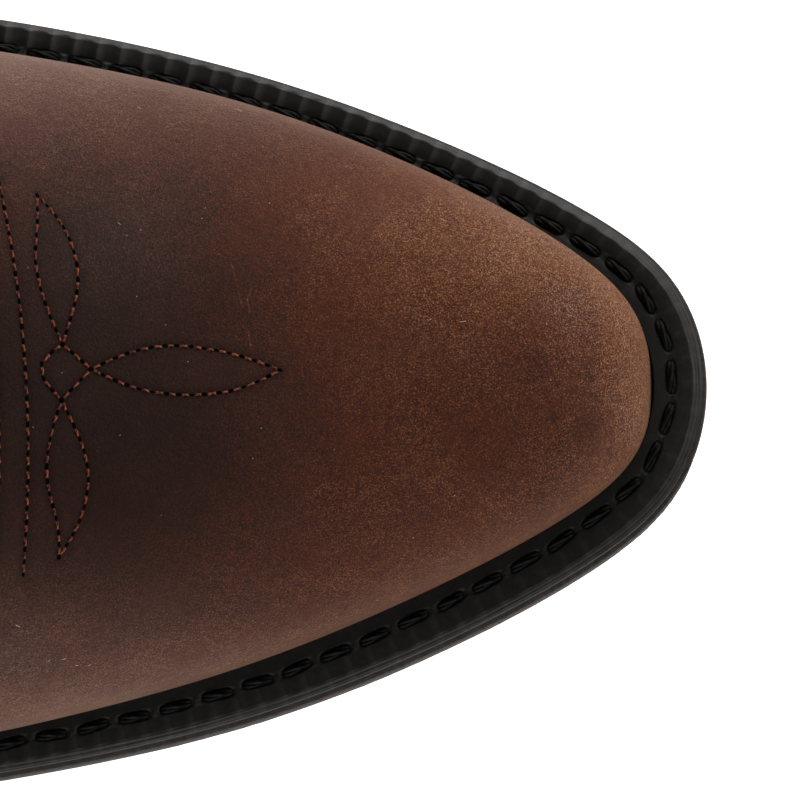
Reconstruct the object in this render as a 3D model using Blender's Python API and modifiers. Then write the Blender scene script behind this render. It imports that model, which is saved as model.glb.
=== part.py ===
"""A western boot for the right foot, built from the pieces that a bootmaker puts together.

Lengths are in millimetres: x runs from the back of the heel seat (0) to the toe, +y is the inner
(medial) side of the foot and z = 0 is the floor. Meshes are written in metres, with the origin moved
to the middle of the boot's footprint.
"""

import math

import bmesh
import bpy
import numpy as np

MM = 0.001
MEDIAL, LATERAL = 1, -1

# Driving sizes of the sole
SOLE_LENGTH = 306.0
TOE_SPRING = 11.0
TOE_SPRING_POWER = 1.9
HEEL_RISE = 38.0
WAIST_STEEPNESS = 0.82
FLAT_BACK, FLAT_FRONT = 185.0, 228.0
OUTSOLE_THICKNESS = 5.5
OUTSOLE_EDGE_ROUND = 1.1
WELT_THICKNESS = 3.2
WELT_CLEARANCE = 0.8
WELT_SETBACK = 0.7
WELT_EDGE_ROUND = 0.7
WELT_TO_BREAST = 2.0
INSOLE_THICKNESS = 3.0
INSOLE_CLEARANCE = 1.5

# Heel stack under the heel seat
HEEL_BREAST = 62.0
HEEL_SETBACK = 0.9
HEEL_FOOT_LENGTH = 0.86
HEEL_FOOT_WIDTH = 0.91
HEEL_CAP_THICKNESS = 6.5

# Leather
CLEARANCE = 0.3
OVERLAY_THICKNESS = 1.2
UPPER_THICKNESS = 2.2
UPPER_LIFT = -OVERLAY_THICKNESS - CLEARANCE
PIPING_RADIUS = 1.1
STRAP_WIDTH = 27.0
STRAP_THICKNESS = 2.0
STRAP_LEG = 62.0
STRAP_LOOP = 24.0
STRAP_LOOP_RADIUS = 10.5
STRAP_LOOP_FULLNESS = 0.6

# Outline of the outsole: half-widths on either side of the boot's axis
SOLE_OUTLINE = (
    # x, medial, lateral
    (0.0, 0.0, 0.0),
    (6.0, 19.6, 19.6),
    (18.0, 29.6, 29.8),
    (36.0, 33.8, 34.3),
    (58.0, 33.4, 34.6),
    (85.0, 29.4, 33.4),
    (110.0, 29.6, 35.4),
    (140.0, 38.6, 43.6),
    (165.0, 49.0, 51.3),
    (186.0, 54.5, 55.1),
    (208.0, 53.2, 53.2),
    (242.0, 45.8, 45.8),
    (270.0, 35.3, 35.3),
    (290.0, 24.8, 24.8),
    (302.0, 14.1, 14.1),
    (306.0, 0.0, 0.0),
)

# How far the foot of the upper, and its widest line above on either side, stand in from the edge of the
# outsole, and how far the wall leans out within the height of the welt
UPPER_INSET = (
    # x, foot, widest medial, widest lateral, lean
    (0.0, 2.2, 1.0, 1.0, 1.5),
    (40.0, 2.6, 1.2, 1.2, 1.8),
    (72.0, 5.4, 1.6, 1.6, 3.0),
    (110.0, 6.6, 2.4, 2.4, 3.6),
    (165.0, 8.5, 7.4, 5.0, 2.2),
    (208.0, 8.6, 7.7, 5.4, 1.8),
    (240.0, 8.7, 6.6, 6.8, 1.4),
    (285.0, 8.1, 6.7, 7.6, 1.0),
    (306.0, 7.4, 7.4, 7.4, 0.4),
)

# Crest of the toe, in front of the ball of the foot
TOE_CREST = (
    # behind the tip, height above the foot of the upper
    (0.0, 0.0),
    (1.0, 7.2),
    (4.0, 14.4),
    (10.0, 21.4),
    (20.0, 27.4),
    (35.0, 32.6),
    (55.0, 39.4),
    (80.0, 49.2),
    (105.0, 60.8),
)
TOE_ROWS = 7
TOE_WIDEST = (0.34, 0.27)
TOE_FULLNESS = (0.92, 0.95)
TOE_BLEND_ROWS = 0.5

# Sections behind the ball, fanned about the throat and then up the shaft. A section lies in a plane
# through its front point and its back point. Back height 0 means on the insole line.
FAN_SECTIONS = (
    # front x, front z, back x, back z, medial, lateral, widest, fullness, foot fullness, crest y
    (172.0, 82.5, 160.0, 0.0, 44.0, 47.8, 0.30, 0.95, 0.98, 1.5),
    (155.0, 99.0, 126.0, 0.0, 38.6, 42.4, 0.36, 0.95, 1.04, 2.5),
    (144.0, 115.0, 90.0, 0.0, 36.6, 38.8, 0.42, 0.95, 1.02, 2.0),
    (137.4, 130.0, 55.0, 0.0, 36.4, 37.4, 0.46, 0.94, 0.88, 1.0),
    (133.4, 142.0, 26.0, 0.0, 36.6, 37.0, 0.48, 0.93, 0.76, 0.5),
    (131.0, 151.0, 9.0, 0.0, 36.8, 37.0, 0.49, 0.93, 0.72, 0.0),
    (129.3, 160.0, 2.2, 0.0, 37.0, 37.1, 0.50, 0.93, 0.72, 0.0),
    (127.6, 174.0, -0.9, 60.0, 37.6, 37.6, 0.50, 0.93, 0.75, 0.0),
    (126.5, 191.0, 0.4, 82.0, 38.6, 38.6, 0.50, 0.92, 0.80, 0.0),
    (126.1, 210.0, 4.6, 110.0, 40.0, 40.0, 0.50, 0.92, 0.85, 0.0),
    (126.5, 232.0, 8.2, 145.0, 41.6, 41.6, 0.50, 0.91, 0.89, 0.0),
    (127.8, 256.0, 8.2, 185.0, 43.2, 43.2, 0.50, 0.91, 0.91, 0.0),
    (129.8, 282.0, 4.8, 230.0, 45.0, 45.0, 0.50, 0.91, 0.91, 0.0),
    (132.0, 312.0, -0.6, 284.0, 46.8, 46.8, 0.50, 0.91, 0.91, 0.0),
    (134.4, 345.0, -6.0, 345.0, 48.6, 48.6, 0.50, 0.91, 0.91, 0.0),
)

# Side outline of the heel counter, from its front foot to its top at the back
COUNTER_OUTLINE = (
    # x, z
    (74.0, 33.0),
    (69.0, 50.0),
    (58.0, 70.0),
    (38.0, 87.0),
    (12.0, 99.0),
    (-20.0, 106.0),
)
HEEL_ROW = TOE_ROWS + 7
COLLAR_ROW = TOE_ROWS + len(FAN_SECTIONS)

# Design lines across the sections, in rows
VAMP_ROW = TOE_ROWS + 3.45
VAMP_DIP = 1.05
VAMP_DIP_POWER = 1.25
FRONT_SCALLOP = 1.0
BACK_SCALLOP = 0.42
SCALLOP_POWER = 1.35
SEAM_COLUMN = 0.5
SEAM_TOP_X = 62.0
SEAM_FOOT_X = 75.0
SEAM_FOOT_ROW = VAMP_ROW + 0.62
STRAP_TO_SEAM = 4.0

# Mesh density
GRID_STEPS_PER_ROW = 16
GRID_COLUMNS = 48
SECTION_SAMPLES = 97
LEAST_FOOT_TURN = 0.05
UPPER_COLUMNS = 32
VAMP_LINES = 15
HEEL_LINES = 8
SHAFT_LINES = 11
COUNTER_SHAFT_LINES = 7
SOLE_STATIONS = 44
HEEL_STATIONS = 12
WELT_STATIONS = 34
SEAM_POINTS = 26
BINDING_POINTS = 48
STRAP_COLUMNS = 6
STRAP_LEG_LINES = 6
STRAP_LOOP_LINES = 13
COUNTER_EDGE_POINTS = 24
COUNTER_FOOT_POINTS = 12
OUTLINE_SAMPLES = 721
SEARCH_SAMPLES = 200
SEARCH_STEP = 0.05
SHARP_ANGLE = math.radians(40)
WELD_DISTANCE = 0.002
SMALLEST = 1e-6


def natural_spline(knots, values):
    """A function of x: the natural cubic spline through the values, which may have several columns."""
    knots = np.asarray(knots, float)
    values = np.asarray(values, float)
    count = len(knots)
    gaps = np.diff(knots)
    matrix = np.eye(count)
    bends = np.zeros_like(values)
    for i in range(1, count - 1):
        matrix[i, i - 1 : i + 2] = gaps[i - 1], 2 * (gaps[i - 1] + gaps[i]), gaps[i]
        slope_change = (values[i + 1] - values[i]) / gaps[i] - (values[i] - values[i - 1]) / gaps[i - 1]
        bends[i] = 6 * slope_change
    bends = np.linalg.solve(matrix, bends)

    def at(x):
        x = np.clip(x, knots[0], knots[-1])
        i = np.clip(np.searchsorted(knots, x) - 1, 0, count - 2)
        gap = gaps[i]
        right = (x - knots[i]) / gap
        left = 1 - right
        if values.ndim > 1:
            gap, right, left = gap[..., None], right[..., None], left[..., None]
        bend = (left**3 - left) * bends[i] + (right**3 - right) * bends[i + 1]
        return left * values[i] + right * values[i + 1] + bend * gap**2 / 6

    return at


def smoothstep(u):
    u = np.clip(u, 0, 1)
    return u * u * (3 - 2 * u)


def blend(start, end, share):
    return start + (end - start) * share


def columns_of(table):
    return np.array(table, float).T


def angle_of(x):
    """The sole's stations go by this angle, so that its outline closes round at both ends."""
    return np.arccos(np.clip(1 - 2 * np.asarray(x, float) / SOLE_LENGTH, -1, 1))


outline_x, outline_medial, outline_lateral = columns_of(SOLE_OUTLINE)
half_widths = {
    MEDIAL: natural_spline(angle_of(outline_x), outline_medial),
    LATERAL: natural_spline(angle_of(outline_x), outline_lateral),
}
inset_x, inset_foot, inset_medial, inset_lateral, inset_lean = columns_of(UPPER_INSET)
foot_inset = natural_spline(inset_x, inset_foot)
widest_inset = {
    MEDIAL: natural_spline(inset_x, inset_medial),
    LATERAL: natural_spline(inset_x, inset_lateral),
}
wall_lean = natural_spline(inset_x, inset_lean)
crest_behind, crest_height = columns_of(TOE_CREST)
toe_crest = natural_spline(np.sqrt(crest_behind), crest_height)


def underside(x):
    """Height of the outsole's underside: flat at the ball, sprung at the toe, raised over the heel."""
    toe = np.clip((x - FLAT_FRONT) / (SOLE_LENGTH - FLAT_FRONT), 0, 1) ** TOE_SPRING_POWER
    back = np.clip((FLAT_BACK - x) / FLAT_BACK, 0, 1) ** WAIST_STEEPNESS
    return TOE_SPRING * toe + HEEL_RISE * smoothstep(back)


def outsole_top(x):
    return underside(x) + OUTSOLE_THICKNESS


def insole_line(x):
    """Height of the foot of the upper, just clear of the outsole."""
    return outsole_top(x) + CLEARANCE


def rim(angle, side, inset):
    """Points (x, y) at a distance in from the outsole's edge. The inset is a number or a function of x."""
    angle = np.asarray(angle, float)
    step = 1e-4
    x = SOLE_LENGTH / 2 * (1 - np.cos(angle))
    y = half_widths[side](angle)
    along_x = SOLE_LENGTH / 2 * np.sin(angle)
    along_y = (half_widths[side](angle + step) - half_widths[side](angle - step)) / (2 * step)
    size = np.maximum(np.hypot(along_x, along_y), SMALLEST)
    inset = inset(x) if callable(inset) else inset
    return x + inset * along_y / size, side * (y - inset * along_x / size)


def half_width_over_x(side, inset):
    """A function giving the half-width of an inset outline at x."""
    x, y = rim(np.linspace(0.0, math.pi, OUTLINE_SAMPLES), side, inset)
    return lambda wanted: np.interp(wanted, x, np.abs(y), left=0.0, right=0.0)


foot_half_width = {side: half_width_over_x(side, foot_inset) for side in (MEDIAL, LATERAL)}
widest_half_width = {side: half_width_over_x(side, widest_inset[side]) for side in (MEDIAL, LATERAL)}
TOE_TIP = SOLE_LENGTH - float(foot_inset(SOLE_LENGTH))


def section_rows():
    """Every key section from the toe to the collar, one row each."""
    rows = []
    for i in range(TOE_ROWS + 1):
        share = i / TOE_ROWS
        behind = crest_behind[-1] * (1 - math.cos(share * math.pi / 2))
        x = TOE_TIP - behind
        foot = float(insole_line(x))
        crest = foot + float(toe_crest(math.sqrt(behind)))
        widths = [float(widest_half_width[side](x)) for side in (MEDIAL, LATERAL)]
        fullness = blend(*TOE_FULLNESS, share)
        rows.append((x, crest, x, foot, *widths, blend(*TOE_WIDEST, share), fullness, fullness, 0.0))
    for row in FAN_SECTIONS:
        row = list(row)
        if row[3] == 0.0:
            row[3] = float(insole_line(row[2]))
        rows.append(tuple(row))
    return np.array(rows)


class Skin:
    """The outer face of the boot as a fine grid: rows of sections, columns from -1 lateral to 1 medial."""

    def __init__(self):
        section = natural_spline(np.arange(COLLAR_ROW + 1), section_rows())
        self.rows = np.linspace(0, COLLAR_ROW, COLLAR_ROW * GRID_STEPS_PER_ROW + 1)
        self.columns = np.linspace(-1, 1, 2 * GRID_COLUMNS + 1)
        self.points = np.array([self.section_points(row, section(row)) for row in self.rows])
        self.normals = self.grid_normals()

    def section_points(self, row, values):
        front_x, front_z, back_x, back_z, medial, lateral, widest, *fullness, crest_y = values
        on_sole = row < HEEL_ROW
        if on_sole:
            back_z = float(insole_line(back_x))
        length = max(math.hypot(front_x - back_x, front_z - back_z), SMALLEST)
        halves = {}
        for side, half_width in ((MEDIAL, medial), (LATERAL, lateral)):
            toe_share = 1 - smoothstep(row - TOE_ROWS + TOE_BLEND_ROWS)
            half_width = blend(half_width, float(widest_half_width[side](front_x)), toe_share)
            foot = float(foot_half_width[side](back_x)) if on_sole else 0.0
            halves[side] = self.half_section(length, max(half_width, SMALLEST), foot, widest, *fullness)
        along = np.concatenate([halves[LATERAL][1][::-1], halves[MEDIAL][1][1:]])
        across = np.concatenate([-halves[LATERAL][0][::-1], halves[MEDIAL][0][1:]])
        across = across + crest_y * np.clip(along, 0, 1) ** 3
        x = blend(back_x, front_x, along)
        z = blend(back_z, front_z, along)
        return np.column_stack([x, across, z])

    @staticmethod
    def half_section(length, half_width, foot, widest, fullness, foot_fullness):
        """Half of a section, from crest to foot, as (distance out, share of the height), evenly spaced."""
        foot_turn = max(math.acos(min(foot / half_width, 1.0) ** (1 / foot_fullness)), LEAST_FOOT_TURN)
        turn = np.linspace(math.pi / 2, -foot_turn, SECTION_SAMPLES)
        power = np.where(turn > 0, fullness, foot_fullness)
        out = half_width * np.abs(np.cos(turn)) ** power
        rise = np.abs(np.sin(turn)) ** power
        depth = widest / math.sin(foot_turn) ** foot_fullness
        height = np.where(turn > 0, widest + (1 - widest) * rise, widest - depth * rise)
        steps = np.hypot(np.diff(out), np.diff(height) * length)
        travel = np.concatenate([[0], np.cumsum(steps)])
        even = np.linspace(0, travel[-1], GRID_COLUMNS + 1)
        return np.interp(even, travel, out), np.interp(even, travel, height)

    def grid_normals(self):
        down_rows = np.gradient(self.points, axis=0)
        across = np.gradient(self.points, axis=1)
        normals = np.cross(across, down_rows)
        normals /= np.maximum(np.linalg.norm(normals, axis=2, keepdims=True), SMALLEST**2)
        closed = self.rows >= HEEL_ROW
        seam = normals[closed, 0] + normals[closed, -1]
        seam /= np.linalg.norm(seam, axis=1, keepdims=True)
        normals[closed, 0] = normals[closed, -1] = seam
        normals[0] = (1.0, 0.0, 0.0)
        return normals

    def at(self, row, column, lift=0.0):
        """Points on the skin, moved out along its normals by the lift."""
        row, column, lift = np.broadcast_arrays(row, column, lift)
        i = np.clip(row * GRID_STEPS_PER_ROW, 0, len(self.rows) - 1 - SMALLEST)
        j = np.clip((column + 1) * GRID_COLUMNS, 0, 2 * GRID_COLUMNS - SMALLEST)
        i0, j0 = i.astype(int), j.astype(int)
        u, w = (i - i0)[..., None], (j - j0)[..., None]

        def bilinear(grid):
            near = blend(grid[i0, j0], grid[i0, j0 + 1], w)
            far = blend(grid[i0 + 1, j0], grid[i0 + 1, j0 + 1], w)
            return blend(near, far, u)

        return bilinear(self.points) + lift[..., None] * bilinear(self.normals)


def vamp_edge(column):
    """Row of the vamp's top edge: a tongue at the instep that sweeps down either side."""
    return VAMP_ROW - VAMP_DIP * np.abs(np.sin(math.pi * np.abs(column))) ** VAMP_DIP_POWER


def collar_edge(column):
    """Row of the collar: high at the sides and scooped at the front and the back."""
    scoop = np.abs(np.cos(math.pi * column)) ** SCALLOP_POWER
    depth = np.where(np.abs(column) < SEAM_COLUMN, FRONT_SCALLOP, BACK_SCALLOP)
    return COLLAR_ROW - depth * scoop


def new_object(name, vertices, faces, finish, collection):
    """A mesh object from points in millimetres, with points that coincide made one."""
    mesh = bpy.data.meshes.new(name)
    mesh.from_pydata((np.asarray(vertices, float).reshape(-1, 3) * MM).tolist(), [], faces)
    welded = bmesh.new()
    welded.from_mesh(mesh)
    bmesh.ops.remove_doubles(welded, verts=welded.verts, dist=WELD_DISTANCE * MM)
    welded.to_mesh(mesh)
    welded.free()
    mesh.shade_smooth()
    mesh.set_sharp_from_angle(angle=SHARP_ANGLE)
    obj = bpy.data.objects.new(name, mesh)
    if finish:
        mesh.materials.append(finish)
    collection.objects.link(obj)
    return obj


def grid_faces(rows, columns, wrap=False):
    """Quads of a grid whose points are listed row by row."""
    last = columns if wrap else columns - 1
    faces = []
    for i in range(rows - 1):
        for j in range(last):
            k = (j + 1) % columns
            faces.append((i * columns + j, i * columns + k, (i + 1) * columns + k, (i + 1) * columns + j))
    return faces


def grid_triangles(rows, columns):
    """The quads of a grid as triangles, mirrored past the middle column, so that its layers stay parallel."""
    faces = []
    for a, b, c, d in grid_faces(rows, columns):
        if a % columns < columns // 2:
            faces += [(a, b, c), (a, c, d)]
        else:
            faces += [(b, c, d), (b, d, a)]
    return faces


def thicken(obj, thickness, outward=False):
    """Makes a shell of an open surface."""
    wall = obj.modifiers.new("wall", "SOLIDIFY")
    wall.thickness = thickness * MM
    wall.offset = 1.0 if outward else -1.0
    wall.use_rim = True


def sheet(name, grid, thickness, finish, collection, outward=False):
    rows, columns = grid.shape[:2]
    obj = new_object(name, grid, grid_triangles(rows, columns), finish, collection)
    thicken(obj, thickness, outward)
    return obj


def lofted_block(name, rings, finish, collection):
    """A closed solid from rings of points, lowest first. Rings run out medially and back laterally."""
    count = len(rings[0])
    half = count // 2
    faces = grid_faces(len(rings), count, wrap=True)
    bottom, top = 0, (len(rings) - 1) * count
    for k in range(half - 1):
        strip = (k, k + 1, count - 2 - k, count - 1 - k)
        faces.append(tuple(bottom + i for i in strip))
        faces.append(tuple(top + i for i in reversed(strip)))
    obj = new_object(name, np.concatenate(rings), faces, finish, collection)
    outward_normals(obj.data)
    return obj


def outward_normals(mesh):
    work = bmesh.new()
    work.from_mesh(mesh)
    bmesh.ops.recalc_face_normals(work, faces=work.faces)
    work.to_mesh(mesh)
    work.free()


def tube(name, points, radius, finish, collection, cyclic=False):
    """A cord along the points."""
    curve = bpy.data.curves.new(name, "CURVE")
    curve.dimensions = "3D"
    curve.bevel_depth = radius * MM
    curve.bevel_resolution = 1
    curve.use_fill_caps = not cyclic
    spline = curve.splines.new("POLY")
    spline.points.add(len(points) - 1)
    for slot, point in zip(spline.points, points * MM):
        slot.co = (*point, 1.0)
    spline.use_cyclic_u = cyclic
    spline.use_smooth = True
    obj = bpy.data.objects.new(name, curve)
    curve.materials.append(finish)
    collection.objects.link(obj)
    return obj


def sole_ring(angles, inset, height):
    """A closed ring round the sole, medial side first, at a height that is a function of x."""
    sides = []
    for side in (MEDIAL, LATERAL):
        x, y = rim(angles, side, inset)
        sides.append(np.column_stack([x, y, height(x)]))
    return np.concatenate([sides[0], sides[1][::-1]])


def build_outsole(finish, collection):
    angles = np.linspace(0.0, math.pi, SOLE_STATIONS + 1)
    levels = (
        (OUTSOLE_EDGE_ROUND, 0.0),
        (0.0, OUTSOLE_EDGE_ROUND),
        (0.0, OUTSOLE_THICKNESS - OUTSOLE_EDGE_ROUND / 2),
        (OUTSOLE_EDGE_ROUND / 2, OUTSOLE_THICKNESS),
    )
    rings = [sole_ring(angles, inset, lambda x, up=up: underside(x) + up) for inset, up in levels]
    return lofted_block("outsole", rings, finish, collection)


def build_insole(finish, collection):
    angles = np.linspace(0.0, math.pi, SOLE_STATIONS + 1)
    wall = OVERLAY_THICKNESS + UPPER_THICKNESS + INSOLE_CLEARANCE

    def inset(x):
        return foot_inset(x) + wall

    levels = (CLEARANCE, CLEARANCE + INSOLE_THICKNESS)
    rings = [sole_ring(angles, inset, lambda x, up=up: outsole_top(x) + up) for up in levels]
    return lofted_block("insole", rings, finish, collection)


def build_welt(finish, collection):
    """A strip on the outsole's edge, from the heel breast round the toe to the heel breast."""
    breast = float(angle_of(HEEL_BREAST + WELT_TO_BREAST))
    angles = np.linspace(breast, math.pi, WELT_STATIONS + 1)

    def at_foot(x):
        return foot_inset(x) - WELT_CLEARANCE

    def leaned(x):
        return at_foot(x) - wall_lean(x)

    top = CLEARANCE + WELT_THICKNESS
    profile = (
        (at_foot, CLEARANCE),
        (WELT_SETBACK, CLEARANCE),
        (WELT_SETBACK, top - WELT_EDGE_ROUND),
        (WELT_SETBACK + WELT_EDGE_ROUND, top),
        (leaned, top),
    )
    lines = []
    for inset, up in profile:
        sides = []
        for side in (LATERAL, MEDIAL):
            x, y = rim(angles, side, inset)
            sides.append(np.column_stack([x, y, outsole_top(x) + up]))
        lines.append(np.concatenate([sides[0], sides[1][-2::-1]]))
    rows = np.array(lines).transpose(1, 0, 2)
    stations, around = rows.shape[:2]
    faces = grid_faces(stations, around, wrap=True)
    faces.append(tuple(range(around)))
    faces.append(tuple((stations - 1) * around + k for k in reversed(range(around))))
    obj = new_object("welt", rows, faces, finish, collection)
    outward_normals(obj.data)
    return obj


def heel_ring(height):
    """Outline of the heel stack at a height, tapered from the heel seat to its foot."""
    angles = np.linspace(0.0, float(angle_of(HEEL_BREAST)), HEEL_STATIONS + 1)
    ring = sole_ring(angles, HEEL_SETBACK, lambda x: underside(x) - CLEARANCE)
    top = ring[:, 2]
    down = 1 - np.minimum(height / top, 1.0)
    foot_x = HEEL_BREAST - (HEEL_BREAST - ring[:, 0]) * HEEL_FOOT_LENGTH
    foot_y = ring[:, 1] * HEEL_FOOT_WIDTH
    x = blend(ring[:, 0], foot_x, down)
    y = blend(ring[:, 1], foot_y, down)
    return np.column_stack([x, y, np.minimum(height, top)])


def build_heel(finish, collection):
    levels = (HEEL_CAP_THICKNESS + CLEARANCE, HEEL_RISE / 2, HEEL_RISE)
    return lofted_block("heel", [heel_ring(height) for height in levels], finish, collection)


def build_heel_cap(finish, collection):
    levels = (0.0, HEEL_CAP_THICKNESS)
    return lofted_block("heel_cap", [heel_ring(height) for height in levels], finish, collection)


def vamp_lines(columns):
    """Rows of the mesh over the vamp, one array a line, from the toe to the vamp's edge."""
    return [vamp_edge(columns) * share for share in np.linspace(0, 1, VAMP_LINES + 1)]


def heel_lines(columns):
    """Rows of the mesh from the vamp's edge to the back of the heel seat, closer towards the back."""
    shares = np.sin(np.linspace(0, math.pi / 2, HEEL_LINES + 1))
    return [blend(vamp_edge(columns), HEEL_ROW, share) for share in shares]


def shaft_lines(columns):
    return [blend(HEEL_ROW, collar_edge(columns), share) for share in np.linspace(0, 1, SHAFT_LINES + 1)]


def build_upper(skin, finish, collection):
    """The hollow body of the boot: one wall from the insole line to the collar."""
    columns = np.linspace(-1, 1, UPPER_COLUMNS + 1)
    rows = vamp_lines(columns) + heel_lines(columns)[1:] + shaft_lines(columns)[1:]
    grid = skin.at(np.array(rows), columns, UPPER_LIFT)
    return sheet("upper", grid, UPPER_THICKNESS, finish, collection)


def build_vamp(skin, finish, collection):
    columns = np.linspace(-1, 1, UPPER_COLUMNS + 1)
    grid = skin.at(np.array(vamp_lines(columns)), columns, -OVERLAY_THICKNESS)
    return sheet("vamp", grid, OVERLAY_THICKNESS, finish, collection, outward=True)


def counter_cutter(collection):
    """A block with the side outline of the heel counter, wider than the boot."""
    x, z = columns_of(COUNTER_OUTLINE)
    turn = natural_spline(np.arange(len(x)), np.column_stack([x, z]))
    edge = turn(np.linspace(0, len(x) - 1, COUNTER_EDGE_POINTS))
    foot_x = np.linspace(x[-1], x[0], COUNTER_FOOT_POINTS)[:-1]
    foot = np.column_stack([foot_x, insole_line(foot_x)])
    edge[0, 1] = insole_line(edge[0, 0])
    outline = np.concatenate([edge, foot])
    count = len(outline)
    sides = [np.insert(outline, 1, y, axis=1) for y in (-SOLE_LENGTH / 4, SOLE_LENGTH / 4)]
    faces = grid_faces(2, count, wrap=True)
    faces.append(tuple(range(count)))
    faces.append(tuple(count + k for k in reversed(range(count))))
    cutter = new_object("counter_outline", np.concatenate(sides), faces, None, collection)
    outward_normals(cutter.data)
    cutter.hide_render = True
    cutter.display_type = "WIRE"
    return cutter


def build_counter(skin, finish, collection, cutters):
    """The heel counter: a second skin over the heel, cut to its side outline."""
    columns = np.linspace(-1, 1, UPPER_COLUMNS + 1)
    rows = heel_lines(columns) + shaft_lines(columns)[1:COUNTER_SHAFT_LINES]
    grid = skin.at(np.array(rows), columns, -OVERLAY_THICKNESS)
    obj = sheet("heel_counter", grid, OVERLAY_THICKNESS, finish, collection, outward=True)
    cut = obj.modifiers.new("outline", "BOOLEAN")
    cut.operation = "INTERSECT"
    cut.object = counter_cutter(cutters)
    return obj


def row_at_height(skin, column, height):
    """Row where a column of the shaft has a height."""
    rows = np.linspace(HEEL_ROW, COLLAR_ROW, SEARCH_SAMPLES)
    return float(np.interp(height, skin.at(rows, column)[:, 2], rows))


def column_at_length(skin, row, side, x):
    """Column where a row has a distance x from the back of the heel seat."""
    columns = side * np.linspace(1, 0, SEARCH_SAMPLES)
    return float(np.interp(x, skin.at(row, columns)[:, 0], columns))


def collar_height(skin, side):
    return float(skin.at(collar_edge(np.array(side * SEAM_COLUMN)), side * SEAM_COLUMN)[2])


def build_piping(skin, side, finish, collection):
    """The raised cord of a side seam, upright from the foot of the shaft to below the pull strap."""
    top_height = collar_height(skin, side) - STRAP_LEG - STRAP_TO_SEAM
    top_row = row_at_height(skin, side * SEAM_COLUMN, top_height)
    rows = np.linspace(SEAM_FOOT_ROW, top_row, SEAM_POINTS)
    lengths = np.linspace(SEAM_FOOT_X, SEAM_TOP_X, SEAM_POINTS)
    columns = np.array([column_at_length(skin, row, side, x) for row, x in zip(rows, lengths)])
    points = skin.at(rows, columns, UPPER_LIFT + CLEARANCE + PIPING_RADIUS)
    name = "side_piping_medial" if side == MEDIAL else "side_piping_lateral"
    return tube(name, points, PIPING_RADIUS, finish, collection)


def build_binding(skin, finish, collection):
    """The rolled edge that closes the top of the collar."""
    columns = np.linspace(-1, 1, BINDING_POINTS + 1)[:-1]
    points = skin.at(collar_edge(columns), columns, UPPER_LIFT - UPPER_THICKNESS / 2)
    points[:, 2] += CLEARANCE + PIPING_RADIUS
    return tube("collar_binding", points, PIPING_RADIUS, finish, collection, cyclic=True)


def build_pull_strap(skin, side, finish, collection):
    """A strap sewn inside and outside the collar, with a loop above it."""
    middle = side * SEAM_COLUMN
    near = np.array([middle - SEARCH_STEP, middle + SEARCH_STEP])
    collar = skin.at(collar_edge(near), near)
    column_span = 2 * SEARCH_STEP * STRAP_WIDTH / np.linalg.norm(collar[1] - collar[0])
    columns = middle + column_span * np.linspace(-0.5, 0.5, STRAP_COLUMNS)
    outer = UPPER_LIFT + CLEARANCE + STRAP_THICKNESS / 2
    inner = UPPER_LIFT - UPPER_THICKNESS - CLEARANCE - STRAP_THICKNESS / 2
    foot_height = collar_height(skin, side) - STRAP_LEG
    foot_rows = np.array([row_at_height(skin, column, foot_height) for column in columns])
    shares = np.linspace(0, 1, STRAP_LEG_LINES)[:, None]
    leg_rows = blend(foot_rows, collar_edge(columns), shares)
    outside = skin.at(leg_rows, columns, outer)
    inside = skin.at(leg_rows, columns, inner)
    centre = (outside[-1] + inside[-1]) / 2
    spread = (outside[-1] - inside[-1]) / 2
    half_gap = np.linalg.norm(spread, axis=1, keepdims=True)
    out = spread / half_gap
    top = centre[:, 2].max() + STRAP_LOOP
    loop = []
    for turn in np.linspace(0, math.pi, STRAP_LOOP_LINES)[1:-1]:
        swell = blend(half_gap, STRAP_LOOP_RADIUS, math.sin(turn) ** STRAP_LOOP_FULLNESS)
        ring = centre + out * swell * math.cos(turn)
        ring[:, 2] += (top - centre[:, 2]) * math.sin(turn)
        loop.append(ring)
    grid = np.concatenate([outside, np.array(loop), inside[::-1]])
    name = "pull_strap_medial" if side == MEDIAL else "pull_strap_lateral"
    obj = sheet(name, grid, STRAP_THICKNESS, finish, collection)
    obj.modifiers["wall"].offset = 0.0
    return obj


def finish_of(name, colour, roughness):
    material = bpy.data.materials.new(name)
    material.use_nodes = True
    shader = material.node_tree.nodes["Principled BSDF"]
    shader.inputs["Base Color"].default_value = (*colour, 1.0)
    shader.inputs["Roughness"].default_value = roughness
    shader.inputs["Metallic"].default_value = 0.0
    return material


def centre_on_footprint(root, collection):
    """Moves the boot so that the origin is under the middle of its box, on the floor."""
    bpy.context.view_layer.update()
    graph = bpy.context.evaluated_depsgraph_get()
    corners = []
    for obj in collection.objects:
        if obj.type != "EMPTY":
            shown = obj.evaluated_get(graph)
            corners.extend(shown.matrix_world @ vertex.co for vertex in shown.to_mesh().vertices)
            shown.to_mesh_clear()
    corners = np.array(corners)
    middle = (corners.min(axis=0) + corners.max(axis=0)) / 2
    root.location = (-middle[0], -middle[1], -corners[:, 2].min())


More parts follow.
